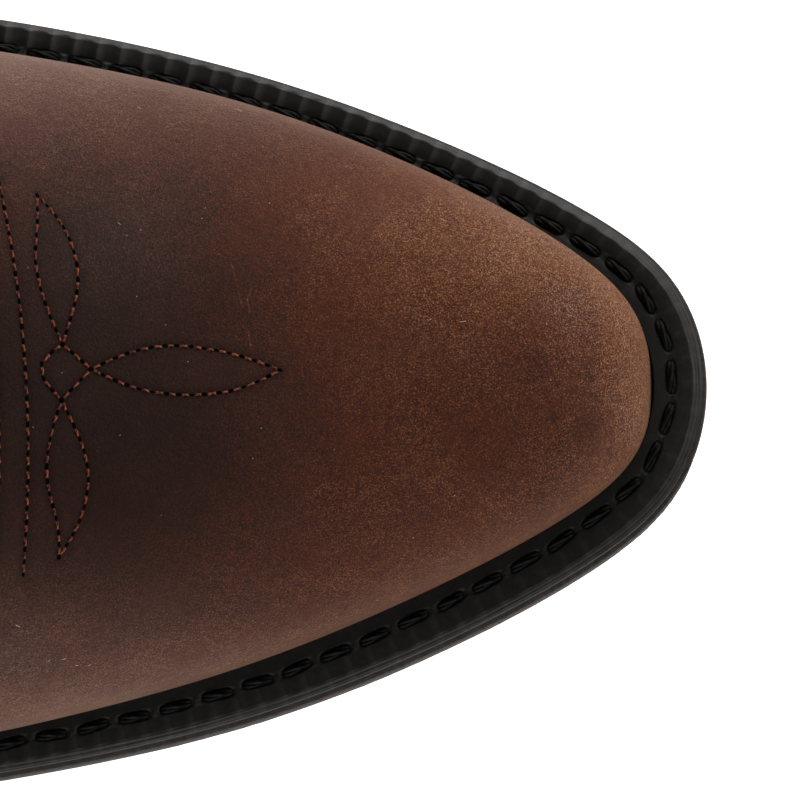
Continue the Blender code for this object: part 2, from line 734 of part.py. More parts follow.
def main():
    for obj in list(bpy.data.objects):
        bpy.data.objects.remove(obj)
    boot = bpy.data.collections.new("western_boot")
    bpy.context.scene.collection.children.link(boot)
    cutters = bpy.data.collections.new("western_boot_cutters")
    bpy.context.scene.collection.children.link(cutters)
    root = bpy.data.objects.new("boot_root", None)
    boot.objects.link(root)

    brown_leather = finish_of("brown_leather", (0.075, 0.036, 0.023), 0.55)
    tan_lining = finish_of("tan_lining", (0.32, 0.2, 0.11), 0.7)
    black_welt = finish_of("black_welt", (0.011, 0.011, 0.011), 0.5)
    black_rubber = finish_of("black_rubber", (0.016, 0.015, 0.014), 0.65)
    black_heel = finish_of("black_heel", (0.014, 0.012, 0.011), 0.45)

    skin = Skin()
    build_outsole(black_rubber, boot)
    build_welt(black_welt, boot)
    build_heel(black_heel, boot)
    build_heel_cap(black_rubber, boot)
    build_insole(tan_lining, boot)
    build_upper(skin, brown_leather, boot)
    build_vamp(skin, brown_leather, boot)
    build_counter(skin, brown_leather, boot, cutters)
    build_binding(skin, brown_leather, boot)
    for side in (MEDIAL, LATERAL):
        build_piping(skin, side, brown_leather, boot)
        build_pull_strap(skin, side, brown_leather, boot)
    for obj in (*boot.objects, *cutters.objects):
        if obj is not root:
            obj.parent = root
    centre_on_footprint(root, boot)


main()
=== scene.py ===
"""Looks of a western boot for the right foot: leather, stitching, welt, sole, studio and camera.

Lengths are in millimetres in the boot's own axes: x runs from the back of the heel seat to the toe, +y is
the inner (medial) side of the foot and z = 0 is the floor. Meshes are written in metres, in the part's
frame.
"""

import math

import bmesh
import bpy
import numpy as np
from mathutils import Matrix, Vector
from mathutils.bvhtree import BVHTree
from mathutils.kdtree import KDTree


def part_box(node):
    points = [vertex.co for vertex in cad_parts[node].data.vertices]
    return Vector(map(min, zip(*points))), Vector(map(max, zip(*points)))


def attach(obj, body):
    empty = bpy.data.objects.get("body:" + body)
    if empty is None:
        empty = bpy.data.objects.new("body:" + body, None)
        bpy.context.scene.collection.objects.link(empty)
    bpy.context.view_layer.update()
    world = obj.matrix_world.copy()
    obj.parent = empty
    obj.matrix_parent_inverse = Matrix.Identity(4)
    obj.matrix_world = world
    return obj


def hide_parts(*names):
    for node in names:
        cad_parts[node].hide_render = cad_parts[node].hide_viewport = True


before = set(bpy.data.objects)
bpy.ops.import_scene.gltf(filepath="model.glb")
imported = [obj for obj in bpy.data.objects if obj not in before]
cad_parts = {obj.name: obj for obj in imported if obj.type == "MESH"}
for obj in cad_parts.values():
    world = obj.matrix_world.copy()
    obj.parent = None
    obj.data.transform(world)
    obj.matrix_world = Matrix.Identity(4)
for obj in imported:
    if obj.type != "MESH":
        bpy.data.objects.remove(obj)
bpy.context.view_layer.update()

MM = 0.001
MEDIAL, LATERAL = 1, -1
BODY = "root"
SMALLEST = 1e-6
random = np.random.default_rng(7)

# Sole, shared with the solids
SOLE_LENGTH = 306.0
TOE_SPRING = 11.0
TOE_SPRING_POWER = 1.9
HEEL_RISE = 38.0
WAIST_STEEPNESS = 0.82
FLAT_BACK, FLAT_FRONT = 185.0, 228.0
OUTSOLE_THICKNESS = 5.5
WELT_THICKNESS = 3.2
WELT_SETBACK = 0.7
WELT_TO_BREAST = 2.0
INSOLE_THICKNESS = 3.0
INSOLE_CLEARANCE = 1.5
HEEL_BREAST = 62.0
HEEL_SETBACK = 0.9
HEEL_FOOT_LENGTH = 0.86
HEEL_FOOT_WIDTH = 0.91
HEEL_CAP_THICKNESS = 6.5

# Leather, shared with the solids
CLEARANCE = 0.3
OVERLAY_THICKNESS = 1.2
UPPER_THICKNESS = 2.2
UPPER_LIFT = -OVERLAY_THICKNESS - CLEARANCE
PIPING_RADIUS = 1.1
STRAP_WIDTH = 27.0
STRAP_THICKNESS = 2.0
STRAP_LEG = 62.0
STRAP_LOOP = 24.0
STRAP_LOOP_RADIUS = 10.5
STRAP_LOOP_FULLNESS = 0.6

# Outline of the outsole: half-widths on either side of the boot's axis
SOLE_OUTLINE = (
    # x, medial, lateral
    (0.0, 0.0, 0.0),
    (6.0, 19.6, 19.6),
    (18.0, 29.6, 29.8),
    (36.0, 33.8, 34.3),
    (58.0, 33.4, 34.6),
    (85.0, 29.4, 33.4),
    (110.0, 29.6, 35.4),
    (140.0, 38.6, 43.6),
    (165.0, 49.0, 51.3),
    (186.0, 54.5, 55.1),
    (208.0, 53.2, 53.2),
    (242.0, 45.8, 45.8),
    (270.0, 35.3, 35.3),
    (290.0, 24.8, 24.8),
    (302.0, 14.1, 14.1),
    (306.0, 0.0, 0.0),
)

# How far the foot of the upper, and its widest line above on either side, stand in from the edge of the
# outsole, and how far the wall leans out within the height of the welt
UPPER_INSET = (
    # x, foot, widest medial, widest lateral, lean
    (0.0, 2.2, 1.0, 1.0, 1.5),
    (40.0, 2.6, 1.2, 1.2, 1.8),
    (72.0, 5.4, 1.6, 1.6, 3.0),
    (110.0, 6.6, 2.4, 2.4, 3.6),
    (165.0, 8.5, 7.4, 5.0, 2.2),
    (208.0, 8.6, 7.7, 5.4, 1.8),
    (240.0, 8.7, 6.6, 6.8, 1.4),
    (285.0, 8.1, 6.7, 7.6, 1.0),
    (306.0, 7.4, 7.4, 7.4, 0.4),
)

# Crest of the toe, in front of the ball of the foot
TOE_CREST = (
    # behind the tip, height above the foot of the upper
    (0.0, 0.0),
    (1.0, 7.2),
    (4.0, 14.4),
    (10.0, 21.4),
    (20.0, 27.4),
    (35.0, 32.6),
    (55.0, 39.4),
    (80.0, 49.2),
    (105.0, 60.8),
)
TOE_ROWS = 7
TOE_WIDEST = (0.34, 0.27)
TOE_FULLNESS = (0.92, 0.95)
TOE_BLEND_ROWS = 0.5

# Sections behind the ball, fanned about the throat and then up the shaft. A section lies in a plane
# through its front point and its back point. Back height 0 means on the insole line.
FAN_SECTIONS = (
    # front x, front z, back x, back z, medial, lateral, widest, fullness, foot fullness, crest y
    (172.0, 82.5, 160.0, 0.0, 44.0, 47.8, 0.30, 0.95, 0.98, 1.5),
    (155.0, 99.0, 126.0, 0.0, 38.6, 42.4, 0.36, 0.95, 1.04, 2.5),
    (144.0, 115.0, 90.0, 0.0, 36.6, 38.8, 0.42, 0.95, 1.02, 2.0),
    (137.4, 130.0, 55.0, 0.0, 36.4, 37.4, 0.46, 0.94, 0.88, 1.0),
    (133.4, 142.0, 26.0, 0.0, 36.6, 37.0, 0.48, 0.93, 0.76, 0.5),
    (131.0, 151.0, 9.0, 0.0, 36.8, 37.0, 0.49, 0.93, 0.72, 0.0),
    (129.3, 160.0, 2.2, 0.0, 37.0, 37.1, 0.50, 0.93, 0.72, 0.0),
    (127.6, 174.0, -0.9, 60.0, 37.6, 37.6, 0.50, 0.93, 0.75, 0.0),
    (126.5, 191.0, 0.4, 82.0, 38.6, 38.6, 0.50, 0.92, 0.80, 0.0),
    (126.1, 210.0, 4.6, 110.0, 40.0, 40.0, 0.50, 0.92, 0.85, 0.0),
    (126.5, 232.0, 8.2, 145.0, 41.6, 41.6, 0.50, 0.91, 0.89, 0.0),
    (127.8, 256.0, 8.2, 185.0, 43.2, 43.2, 0.50, 0.91, 0.91, 0.0),
    (129.8, 282.0, 4.8, 230.0, 45.0, 45.0, 0.50, 0.91, 0.91, 0.0),
    (132.0, 312.0, -0.6, 284.0, 46.8, 46.8, 0.50, 0.91, 0.91, 0.0),
    (134.4, 345.0, -6.0, 345.0, 48.6, 48.6, 0.50, 0.91, 0.91, 0.0),
)

# Side outline of the heel counter, from its front foot to its top at the back
COUNTER_OUTLINE = (
    # x, z
    (74.0, 33.0),
    (69.0, 50.0),
    (58.0, 70.0),
    (38.0, 87.0),
    (12.0, 99.0),
    (-20.0, 106.0),
)
HEEL_ROW = TOE_ROWS + 7
COLLAR_ROW = TOE_ROWS + len(FAN_SECTIONS)
VAMP_ROW = TOE_ROWS + 3.45
VAMP_DIP = 1.05
VAMP_DIP_POWER = 1.25
FRONT_SCALLOP = 1.0
BACK_SCALLOP = 0.42
SCALLOP_POWER = 1.35
SEAM_COLUMN = 0.5
SEAM_TOP_X = 62.0
SEAM_FOOT_X = 75.0
SEAM_FOOT_ROW = VAMP_ROW + 0.62
STRAP_TO_SEAM = 4.0

# Creases and soft unevenness of the leather, as troughs and ridges
CREASES = (
    # row, column, reach in rows, reach in columns, lift
    (7.55, 0.05, 0.10, 0.30, -0.20),
    (7.95, -0.04, 0.10, 0.26, -0.16),
    (8.60, 0.10, 0.30, 0.50, 0.18),
    (10.95, 0.00, 0.22, 0.30, -0.55),
    (11.60, 0.00, 0.30, 0.24, 0.40),
    (12.30, 0.04, 0.26, 0.20, -0.35),
    (16.90, 1.00, 0.30, 0.16, -0.55),
    (17.60, 1.00, 0.40, 0.20, 0.35),
    (15.60, 0.52, 0.80, 0.16, -0.50),
    (15.90, -0.50, 0.80, 0.14, -0.45),
    (18.60, 0.30, 1.20, 0.22, 0.35),
    (19.20, -0.42, 1.20, 0.24, -0.40),
)

# Toe stitching: leaves that run from a base to a tip, and how far either side bulges at shares of the way
LEAF_SHARES = (0.0, 0.2, 0.4, 0.6, 0.8, 1.0)
LEAVES = (
    # base, tip, left bulges, right bulges
    ((223.3, -2.2), (248.0, -1.2), (0.0, 2.2, 3.2, 2.9, 1.8, 0.0), (0.0, 2.2, 3.2, 3.2, 2.3, 0.0)),
    ((219.6, 0.9), (216.0, 21.1), (0.0, 1.0, 1.6, 1.5, 0.6, 0.0), (0.0, 2.0, 3.4, 3.5, 2.4, 0.0)),
    ((219.5, -6.5), (219.0, -26.7), (0.0, 2.1, 3.5, 3.5, 2.3, 0.0), (0.0, 1.1, 1.7, 1.3, 0.2, 0.0)),
)
DIAMOND = (
    # x, y
    (219.6, 0.9),
    (223.3, -2.2),
    (219.5, -6.5),
    (216.8, -2.5),
)

# Plain rows across the toe behind the leaves
WRINKLE_ROWS = (
    # front x, middle y, bend, lateral end, medial end
    (215.2, -13.0, 0.0033, -29.1, 29.0),
    (211.5, -13.0, 0.0035, -27.8, 31.0),
)
TOE_STITCH = 1.85
TOE_THREAD = 0.185
TOE_THREAD_SHARE = 0.64
TOE_THREAD_SHAPE = {"plies": 2, "twist": 0.5, "rings": 9}
ROW_SLANT = -0.24
SLANT_SPREAD = 0.1
UNEVENNESS = 0.09
SEAM_STITCH = 2.3
SEAM_THREAD = 0.24
SEAM_THREAD_SHARE = 0.78
GROOVE_DEPTH = 0.14
GROOVE_REACH = 0.6
# Painted shade darkening the leather along the stitch grooves
GROOVE_PAINTED_SHADE = 0.12

# Threads, as shares of their radius, and needle holes
STITCH_DIVE = 0.9
STITCH_DIVE_POWER = 5
TAPER_POWER = 4
LEAST_TAPER = 0.12
PLY_RADIUS = 0.62
PLY_SPIRAL = 0.55
HOLE_RADIUS = 0.38
HOLE_LENGTH = 1.4
HOLE_SIZES = (0.75, 1.1)
HOLE_SINK = 0.04
HOLE_CAP_SHARE = 0.6
HOLE_CAP_LIFT = 0.06
HOLE_TOP_LIFT = 0.07

# Specks and short fibres that lie on the vamp
LINT = (
    # x, y, direction in degrees, length
    (239.4, 37.8, 0, 0.3),
    (241.9, 36.3, -20, 1.3),
    (228.8, 35.2, -50, 0.8),
    (245.4, 30.3, 30, 0.25),
    (251.6, 29.5, 80, 0.25),
    (296.0, -2.5, 60, 0.3),
    (271.2, -17.0, 10, 0.25),
    (283.6, 6.1, 120, 0.3),
    (237.5, 19.1, 40, 0.3),
    (237.9, 20.6, 70, 0.25),
    (246.4, 21.8, 20, 0.25),
    (217.2, -39.5, 60, 0.6),
    (219.2, -39.2, 10, 0.7),
    (220.8, -39.9, -30, 0.6),
    (222.4, -39.8, 0, 0.5),
    (213.4, -35.4, -40, 0.9),
    (219.5, -2.9, 0, 0.25),
    (227.0, -10.7, 50, 0.25),
    (272.3, 6.0, 10, 1.1),
    (268.0, 6.2, 30, 0.2),
    (227.7, 16.1, 0, 0.25),
    (229.5, 17.0, 45, 0.25),
    (215.0, 10.9, 90, 0.2),
    (229.1, 7.8, 60, 0.18),
    (226.7, 17.7, -40, 0.5),
    (232.9, 4.2, 20, 0.22),
    (245.5, -9.0, 0, 0.22),
)
LINT_RADIUS = 0.05
SCATTERED_LINT = 24
LINT_ROWS = (1.0, VAMP_ROW - 2)
LINT_COLUMNS = (-0.8, 0.8)
LINT_LENGTHS = (0.12, 0.24)

# Fine scratches in front of the stitching
SCRATCHES = (
    # start (x, y), end (x, y)
    ((241.5, 12.9), (242.9, 7.1)),
    ((244.1, 9.8), (243.6, 8.1)),
    ((243.6, 8.1), (243.9, 6.4)),
    ((243.6, 4.4), (244.2, 1.2)),
    ((241.6, 4.3), (242.4, 2.6)),
)
SCRATCH_REACH = 0.16

# Welt seen from above, as distances in from the edge of the outsole
WELT_TOP = CLEARANCE + WELT_THICKNESS
WELT_MIDDLE = 4.5
WELT_STEP = 0.36
WELT_SQUEEZE = 0.02
WELT_INSETS = (
    # inset, steps to the next
    (WELT_SETBACK, 14),
    (2.3, 4),
    (3.2, 24),
    (6.3, 3),
    (7.4, 0),
)
WELT_SIDE = (
    # height above the outsole, inset
    (CLEARANCE, WELT_SETBACK),
    (0.9, WELT_SETBACK),
    (1.1, WELT_SETBACK + 0.16),
    (1.3, WELT_SETBACK),
    (1.9, WELT_SETBACK),
)
WELT_TO_LEATHER = 0.1
BEVEL_REACH = 1.6
TOE_BEVEL = 0.6
BEVEL_SLOPE = 0.75
BEVEL_STEEPNESS = 6
BEVEL_LINE = 0.5
LINE_RELIEF = 0.03
STREAK_LENGTH = 5.0
STREAK_SHARE = 0.6
FACET_STATIONS = 9
FACET_RISE = 0.3
FACET_DEPTH = 0.34
FACET_TO_STITCH = 0.3
FACET_FADE = 0.5
FURROW_REACH = 1.2
FURROW_DEPTH = 0.35
WELT_STITCH = 5.8
WELT_STITCH_LENGTH = 4.9
WELT_THREAD = 0.56
WELT_THREAD_SHAPE = {"plies": 3, "arch": 0.3, "twist": 0.5, "rings": 15, "sides": 8}
WELT_UNEVENNESS = 0.05
PIT_LENGTH = 5.2
PIT_WIDTH = 1.6
PIT_DEPTH = 0.5
PIT_STEEPNESS = 4
KNOT_HEIGHT = 0.14
KNOT_REACH = (0.09, 0.4)

# How the welt differs round the toe: lengths over which it changes, and shares
MEDIAL_FADE = 90.0
STEEP_FADE = 50.0
STEEP_AT_TIP = 0.4
TOE_REACH = 40.0
LATERAL_SLOPE = 0.45
LATERAL_BEVEL = 0.6
LATERAL_FACETS = 0.4
TOE_FACETS_LOST = 0.7
MEDIAL_LINES_LOST = 0.7

# Wear of the welt, with painted light and shade mixed in, where 0 is black and 1 is grey
WELT_WEAR = 0.12
# Welt bevel paler, partly from scuffing and partly as painted reflection
BEVEL_SCUFF_AND_PAINTED_REFLECTION = (0.16, 0.20)
LINE_WEAR = 0.08
# Painted glints on the knots at the stitch ends
KNOT_PAINTED_GLINT = 0.25
# Painted shade in the furrow beside the stitches
FURROW_PAINTED_SHADE = -0.12
# Painted light on the lit side of each facet
FACET_PAINTED_LIGHT = 0.34
FACET_PAINTED_LIGHT_START = 0.5
FACET_PAINTED_LIGHT_FADE = 0.4
# Painted shade in the stitch pits
PIT_PAINTED_SHADE = -0.2
SIDE_WEAR = 0.05

# Line of the welt stitches
STITCH_INSET = (
    # distance past the toe's tip, inset
    (-115.0, 4.3),
    (-70.0, 4.9),
    (-20.0, 5.2),
    (5.0, 4.7),
    (30.0, 4.6),
    (115.0, 4.55),
)

# Tone of the leather over the vamp: 0 is dark and oily, 1 is pale and rubbed. The zones are partly the
# leather's own pulled-up colour and partly painted light: painted shade over the top of the toe, painted
# side light toward its rims and tip.
VAMP_TONE = 0.49
VAMP_ZONES = (
    # x, y, reach along, reach across, change
    (224.0, -8.0, 29.0, 32.0, -0.32),
    (174.0, 0.0, 49.0, 42.0, -0.20),
    (306.0, 2.0, 12.0, 24.0, 0.26),
    (284.0, -4.0, 11.0, 11.0, -0.11),
    (282.2, 0.5, 2.2, 1.9, -0.08),
    (289.6, -7.8, 2.2, 2.2, -0.06),
    (270.0, 19.0, 24.0, 12.0, 0.10),
    (207.0, 41.0, 26.0, 10.0, 0.16),
    (222.0, -39.0, 30.0, 9.0, 0.12),
    (238.0, -2.0, 10.0, 26.0, -0.04),
    (275.0, -17.0, 20.0, 12.0, -0.04),
    (257.0, 27.0, 12.0, 8.0, -0.02),
    (284.0, 14.0, 13.0, 8.0, 0.07),
    (224.0, -12.0, 10.0, 10.0, -0.03),
    (212.0, -46.0, 25.0, 4.0, 0.08),
)

# How much duller the colour is, and how much calmer the nap. The dulling along the rims is partly a dusty
# bloom and partly painted sheen of the side light.
DULL_ZONES = (
    # x, y, reach along, reach across, change
    (212.0, 38.0, 34.0, 15.0, 0.27),
    (226.0, 14.0, 9.0, 9.0, 0.20),
    (212.0, -38.0, 36.0, 12.0, 0.22),
    (222.0, -20.0, 12.0, 7.0, -0.12),
    (287.0, 9.0, 4.0, 4.0, 0.10),
)
CALM_ZONES = (
    # x, y, reach along, reach across, change
    (205.0, 42.0, 40.0, 20.0, 0.42),
    (205.0, -42.0, 40.0, 20.0, 0.25),
    (257.0, 4.0, 26.0, 30.0, 0.15),
    (257.0, 27.0, 18.0, 10.0, 0.20),
    (300.0, 0.0, 20.0, 26.0, -0.20),
)
CALM_LIMITS = (-0.2, 0.55)

# Leather panels, cords and straps
EDGE_REACH = 0.9
EDGE_DROP = 0.6
ROW_LENGTH = 22.0
SEAM_INSETS = (2.4, 4.8)
SEAM_END = 0.985
SHAFT_TONE = 0.42
# Painted shade along the shaft's side seams
SEAM_PAINTED_SHADE = -0.06
SEAM_PAINTED_SHADE_REACH = 0.03
COLLAR_TONE = 0.1
COLLAR_TONE_ROWS = 1.2
COUNTER_ROWS = (TOE_ROWS + 3.47, TOE_ROWS + 9.72)
COUNTER_FRONT = 0.3
COUNTER_COLUMN_LENGTH = 130.0
COUNTER_TONE = 0.46
COUNTER_EDGE_TONE = 0.05
COUNTER_EDGE_REACH = 1.2
PIPING_TONE = 0.4
PIPING_SEAM = 3.4
BINDING_TONE = 0.36
BINDING_SEAM_ROWS = 0.13
BINDING_SEAM_GAP = 0.09
STRAP_TONE = 0.4
STRAP_EDGE_TONE = 0.1
STRAP_ROUNDING = 0.45

# Edge of the outsole, from its underside up
SOLE_PROFILE = (
    # inset, height above the underside, wear and painted light
    (1.10, 0.00, 0.1),
    (0.50, 0.12, 0.0),
    (0.16, 0.45, 0.0),
    (0.00, 0.95, 0.0),
    (0.00, 1.25, 0.05),
    (0.10, 1.45, 0.2),
    (0.02, 1.65, 0.45),
    (0.02, 2.30, 0.6),
    (0.10, 2.50, 0.45),
    (0.02, 2.70, 0.6),
    (0.02, 3.30, 0.6),
    (0.10, 3.45, 0.4),
    (0.00, 3.60, 0.55),
    (0.00, 4.10, 0.55),
    (0.12, 4.30, 0.2),
    (0.12, 4.45, 0.2),
    (0.02, 4.65, 0.5),
    (0.00, 5.15, 0.5),
    # Top rows paler, partly from scuffing and partly as painted light against the shade under the welt
    (0.16, 5.42, 0.62),
    (0.50, 5.50, 0.56),
)
# Top ledge paler, partly from scuffing and partly as painted light against the shade under the welt
SOLE_TOP_WEAR_AND_PAINTED_LIGHT = 0.56
TREAD_WEAR = 0.15
TREAD_PITCH = 7.0
TREAD_WIDTH = 1.5
TREAD_DEPTH = 0.9
TREAD_SLANT = 0.35
TREAD_BACK, TREAD_FRONT = 150.0, 292.0
TREAD_FADE = 3.0
TREAD_RIM = 0.86
TREAD_RIM_FADE = 0.05
NUB = 0.26
NUB_PATCH = 12
NUB_BAND = (0.3, 2.0)

# Heel and insole
HEEL_WEAR = 0.2
LIFT_THICKNESS = 5.2
LEAST_LIFT = 1.5
LIFT_GROOVE = 0.16
LIFT_GROOVE_HALF = 0.22
HEEL_FOOT_INSET = 0.25
HEEL_FOOT_RISE = 0.3
HEEL_CAP_LEVELS = (
    # height, inset
    (0.0, 0.5),
    (0.3, 0.1),
    (0.7, 0.0),
    (HEEL_CAP_THICKNESS - 0.4, 0.0),
    (HEEL_CAP_THICKNESS, 0.25),
)
INSOLE_LEVELS = (
    # height above the outsole, inset
    (CLEARANCE, 0.0),
    (CLEARANCE + INSOLE_THICKNESS - 0.5, 0.0),
    (CLEARANCE + INSOLE_THICKNESS, 0.5),
)

# Leather colours over its tone
OILED_LEATHER = (
    # tone, colour
    (0.0, (0.0090, 0.0050, 0.0042)),
    (0.25, (0.0215, 0.0098, 0.0074)),
    (0.5, (0.0580, 0.0170, 0.0088)),
    (0.75, (0.1120, 0.0450, 0.0212)),
    (1.0, (0.2050, 0.1020, 0.0520)),
)
LEATHER_SHEEN = (0.95, 0.66, 0.46, 1.0)

# Other colours, dark and light
WELT_RUBBER = ((0.0065, 0.0061, 0.0056), (0.056, 0.048, 0.043))
SOLE_RUBBER = ((0.0065, 0.0060, 0.0055), (0.058, 0.047, 0.041))
RUST_THREAD = ((0.024, 0.0054, 0.0025), (0.215, 0.048, 0.017))
BLACK_THREAD = ((0.0010, 0.0009, 0.0009), (0.0030, 0.0027, 0.0025))
HEEL_STACK = ((0.007, 0.006, 0.0055), (0.020, 0.016, 0.014))
# Painted shade inside the needle holes
NEEDLE_HOLE_SHADE = ((0.001, 0.001, 0.001), (0.003, 0.002, 0.002))
PALE_LINT = ((0.18, 0.135, 0.11), (0.40, 0.33, 0.28))
PALE_FLOOR = ((0.93, 0.93, 0.93), (0.95, 0.95, 0.95))
TAN_LINING = (0.32, 0.20, 0.11)
WHITE = (1.0, 1.0, 1.0, 1.0)

# Camera, read from the photograph: 7 degrees off the vertical on the lateral side
CAMERA_AIM = (263.9, -1.2, 11.5)
CAMERA_TILT = math.radians(7.0)
CAMERA_DISTANCE = 900.0
VIEW_WIDTH = 110.3
SENSOR_WIDTH = 36.0

# Studio light and floor
SOFTBOXES = (
    # name, place in millimetres, width, power
    ("medial_softbox", (330.0, 760.0, 330.0), 700.0, 8.0),
    ("lateral_softbox", (250.0, -800.0, 330.0), 700.0, 5.0),
    ("toe_softbox", (980.0, 120.0, 330.0), 600.0, 4.0),
)
WORLD_STRENGTH = 0.3
FLOOR_GLOW = 0.8
FLOOR_REACH = 6000.0
FLOOR_DROP = 0.2

# Mesh density
VAMP_SHARES = (
    # share of the way from the toe to the vamp's edge, steps to the next
    (0.0, 64),
    (0.416, 124),
    (0.668, 52),
    (0.985, 12),
    (1.0, 0),
)
VAMP_COLUMNS = (
    # column, steps to the next
    (-1.0, 24),
    (-0.6, 176),
    (0.6, 24),
    (1.0, 0),
)
INNER_STEP = 4
UPPER_COLUMNS = 161
FOOT_STEPS, INSTEP_STEPS, SHAFT_STEPS = 30, 32, 100
COUNTER_STEPS = 121
COUNTER_EDGE_SHARES = (0.0, 0.006, 0.014, 0.026)
COUNTER_SHARES = (0.05, 1.0, 40)
PIPING_RINGS = 140
BINDING_RINGS = 240
CORD_SIDES = 12
STRAP_COLUMNS = 15
STRAP_LEG_ROWS = 34
STRAP_LOOP_STEPS = 40
STRAP_CROSS_ROWS = (1, 30)
SEAM_SAMPLES = 400
LEAF_SAMPLES = 60
DIAMOND_SAMPLES = 20
TOE_ROW_SAMPLES = 160
TREE_ROWS = 420
TREE_COLUMNS = 241
ABOVE_FOOT = 200.0
SOLE_STATIONS = 840
TREAD_STEPS, SOLE_TOP_STEPS = 36, 2
HEEL_STATIONS = 91
HEEL_STEPS = 12
INSOLE_STATIONS = 181
INSOLE_BOTTOM_STEPS, INSOLE_TOP_STEPS = 8, 24
GRID_STEPS_PER_ROW = 40
GRID_COLUMNS = 120
SECTION_SAMPLES = 241
LEAST_FOOT_TURN = 0.05
OUTLINE_SAMPLES = 1441
SEARCH_SAMPLES = 400
SEARCH_STEP = 0.05
WELD_DISTANCE = 0.002
SHARP_ANGLE = math.radians(45)

heel_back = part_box("outsole")[0].x
binding_low, binding_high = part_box("collar_binding")
ORIGIN = np.array([heel_back, (binding_low.y + binding_high.y) / 2, 0.0])


# Curves and the sole's outline

def natural_spline(knots, values):
    """A function of x: the natural cubic spline through the values, which may have several columns."""
    knots = np.asarray(knots, float)
    values = np.asarray(values, float)
    count = len(knots)
    gaps = np.diff(knots)
    matrix = np.eye(count)
    bends = np.zeros_like(values)
    for i in range(1, count - 1):
        matrix[i, i - 1 : i + 2] = gaps[i - 1], 2 * (gaps[i - 1] + gaps[i]), gaps[i]
        slope_change = (values[i + 1] - values[i]) / gaps[i] - (values[i] - values[i - 1]) / gaps[i - 1]
        bends[i] = 6 * slope_change
    bends = np.linalg.solve(matrix, bends)

    def at(x):
        x = np.clip(x, knots[0], knots[-1])
        i = np.clip(np.searchsorted(knots, x) - 1, 0, count - 2)
        gap = gaps[i]
        right = (x - knots[i]) / gap
        left = 1 - right
        if values.ndim > 1:
            gap, right, left = gap[..., None], right[..., None], left[..., None]
        bend = (left**3 - left) * bends[i] + (right**3 - right) * bends[i + 1]
        return left * values[i] + right * values[i + 1] + bend * gap**2 / 6

    return at


def smoothstep(u):
    u = np.clip(u, 0, 1)
    return u * u * (3 - 2 * u)


def blend(start, end, share):
    return start + (end - start) * share


def bump(distance, reach):
    """A soft hump: 1 at no distance, falling to 0 past the reach."""
    return np.exp(-((distance / reach) ** 2))


def columns_of(table):
    return np.array(table, float).T


def unit(vectors):
    return vectors / np.maximum(np.linalg.norm(vectors, axis=-1, keepdims=True), SMALLEST)


def travel_along(points):
    """Distance along a line of points."""
    steps = np.linalg.norm(np.diff(points, axis=0), axis=1)
    return np.concatenate([[0.0], np.cumsum(steps)])


def angle_of(x):
    """The sole's stations go by this angle, so that its outline closes round at both ends."""
    return np.arccos(np.clip(1 - 2 * np.asarray(x, float) / SOLE_LENGTH, -1, 1))


outline_x, outline_medial, outline_lateral = columns_of(SOLE_OUTLINE)
half_widths = {
    MEDIAL: natural_spline(angle_of(outline_x), outline_medial),
    LATERAL: natural_spline(angle_of(outline_x), outline_lateral),
}
inset_x, inset_foot, inset_medial, inset_lateral, inset_lean = columns_of(UPPER_INSET)
foot_inset = natural_spline(inset_x, inset_foot)
widest_inset = {
    MEDIAL: natural_spline(inset_x, inset_medial),
    LATERAL: natural_spline(inset_x, inset_lateral),
}
wall_lean = natural_spline(inset_x, inset_lean)
crest_behind, crest_height = columns_of(TOE_CREST)
toe_crest = natural_spline(np.sqrt(crest_behind), crest_height)


def underside(x):
    """Height of the outsole's underside: flat at the ball, sprung at the toe, raised over the heel."""
    toe = np.clip((x - FLAT_FRONT) / (SOLE_LENGTH - FLAT_FRONT), 0, 1) ** TOE_SPRING_POWER
    back = np.clip((FLAT_BACK - x) / FLAT_BACK, 0, 1) ** WAIST_STEEPNESS
    return TOE_SPRING * toe + HEEL_RISE * smoothstep(back)


def outsole_top(x):
    return underside(x) + OUTSOLE_THICKNESS


def insole_line(x):
    """Height of the foot of the upper, just clear of the outsole."""
    return outsole_top(x) + CLEARANCE


def rim(angle, side, inset):
    """Points (x, y) at a distance in from the outsole's edge. The inset is a number or a function of x."""
    angle = np.asarray(angle, float)
    step = 1e-4
    x = SOLE_LENGTH / 2 * (1 - np.cos(angle))
    y = half_widths[side](angle)
    along_x = SOLE_LENGTH / 2 * np.sin(angle)
    along_y = (half_widths[side](angle + step) - half_widths[side](angle - step)) / (2 * step)
    size = np.maximum(np.hypot(along_x, along_y), SMALLEST)
    inset = inset(x) if callable(inset) else inset
    return x + inset * along_y / size, side * (y - inset * along_x / size)


def half_width_over_x(side, inset):
    """A function giving the half-width of an inset outline at x."""
    x, y = rim(np.linspace(0.0, math.pi, OUTLINE_SAMPLES), side, inset)
    return lambda wanted: np.interp(wanted, x, np.abs(y), left=0.0, right=0.0)


foot_half_width = {side: half_width_over_x(side, foot_inset) for side in (MEDIAL, LATERAL)}
widest_half_width = {side: half_width_over_x(side, widest_inset[side]) for side in (MEDIAL, LATERAL)}
TOE_TIP = SOLE_LENGTH - float(foot_inset(SOLE_LENGTH))


# The boot's skin

def section_rows():
    """Every key section from the toe to the collar, one row each."""
    rows = []
    for i in range(TOE_ROWS + 1):
        share = i / TOE_ROWS
        behind = crest_behind[-1] * (1 - math.cos(share * math.pi / 2))
        x = TOE_TIP - behind
        foot = float(insole_line(x))
        crest = foot + float(toe_crest(math.sqrt(behind)))
        widths = [float(widest_half_width[side](x)) for side in (MEDIAL, LATERAL)]
        fullness = blend(*TOE_FULLNESS, share)
        rows.append((x, crest, x, foot, *widths, blend(*TOE_WIDEST, share), fullness, fullness, 0.0))
    for row in FAN_SECTIONS:
        row = list(row)
        if row[3] == 0.0:
            row[3] = float(insole_line(row[2]))
        rows.append(tuple(row))
    return np.array(rows)


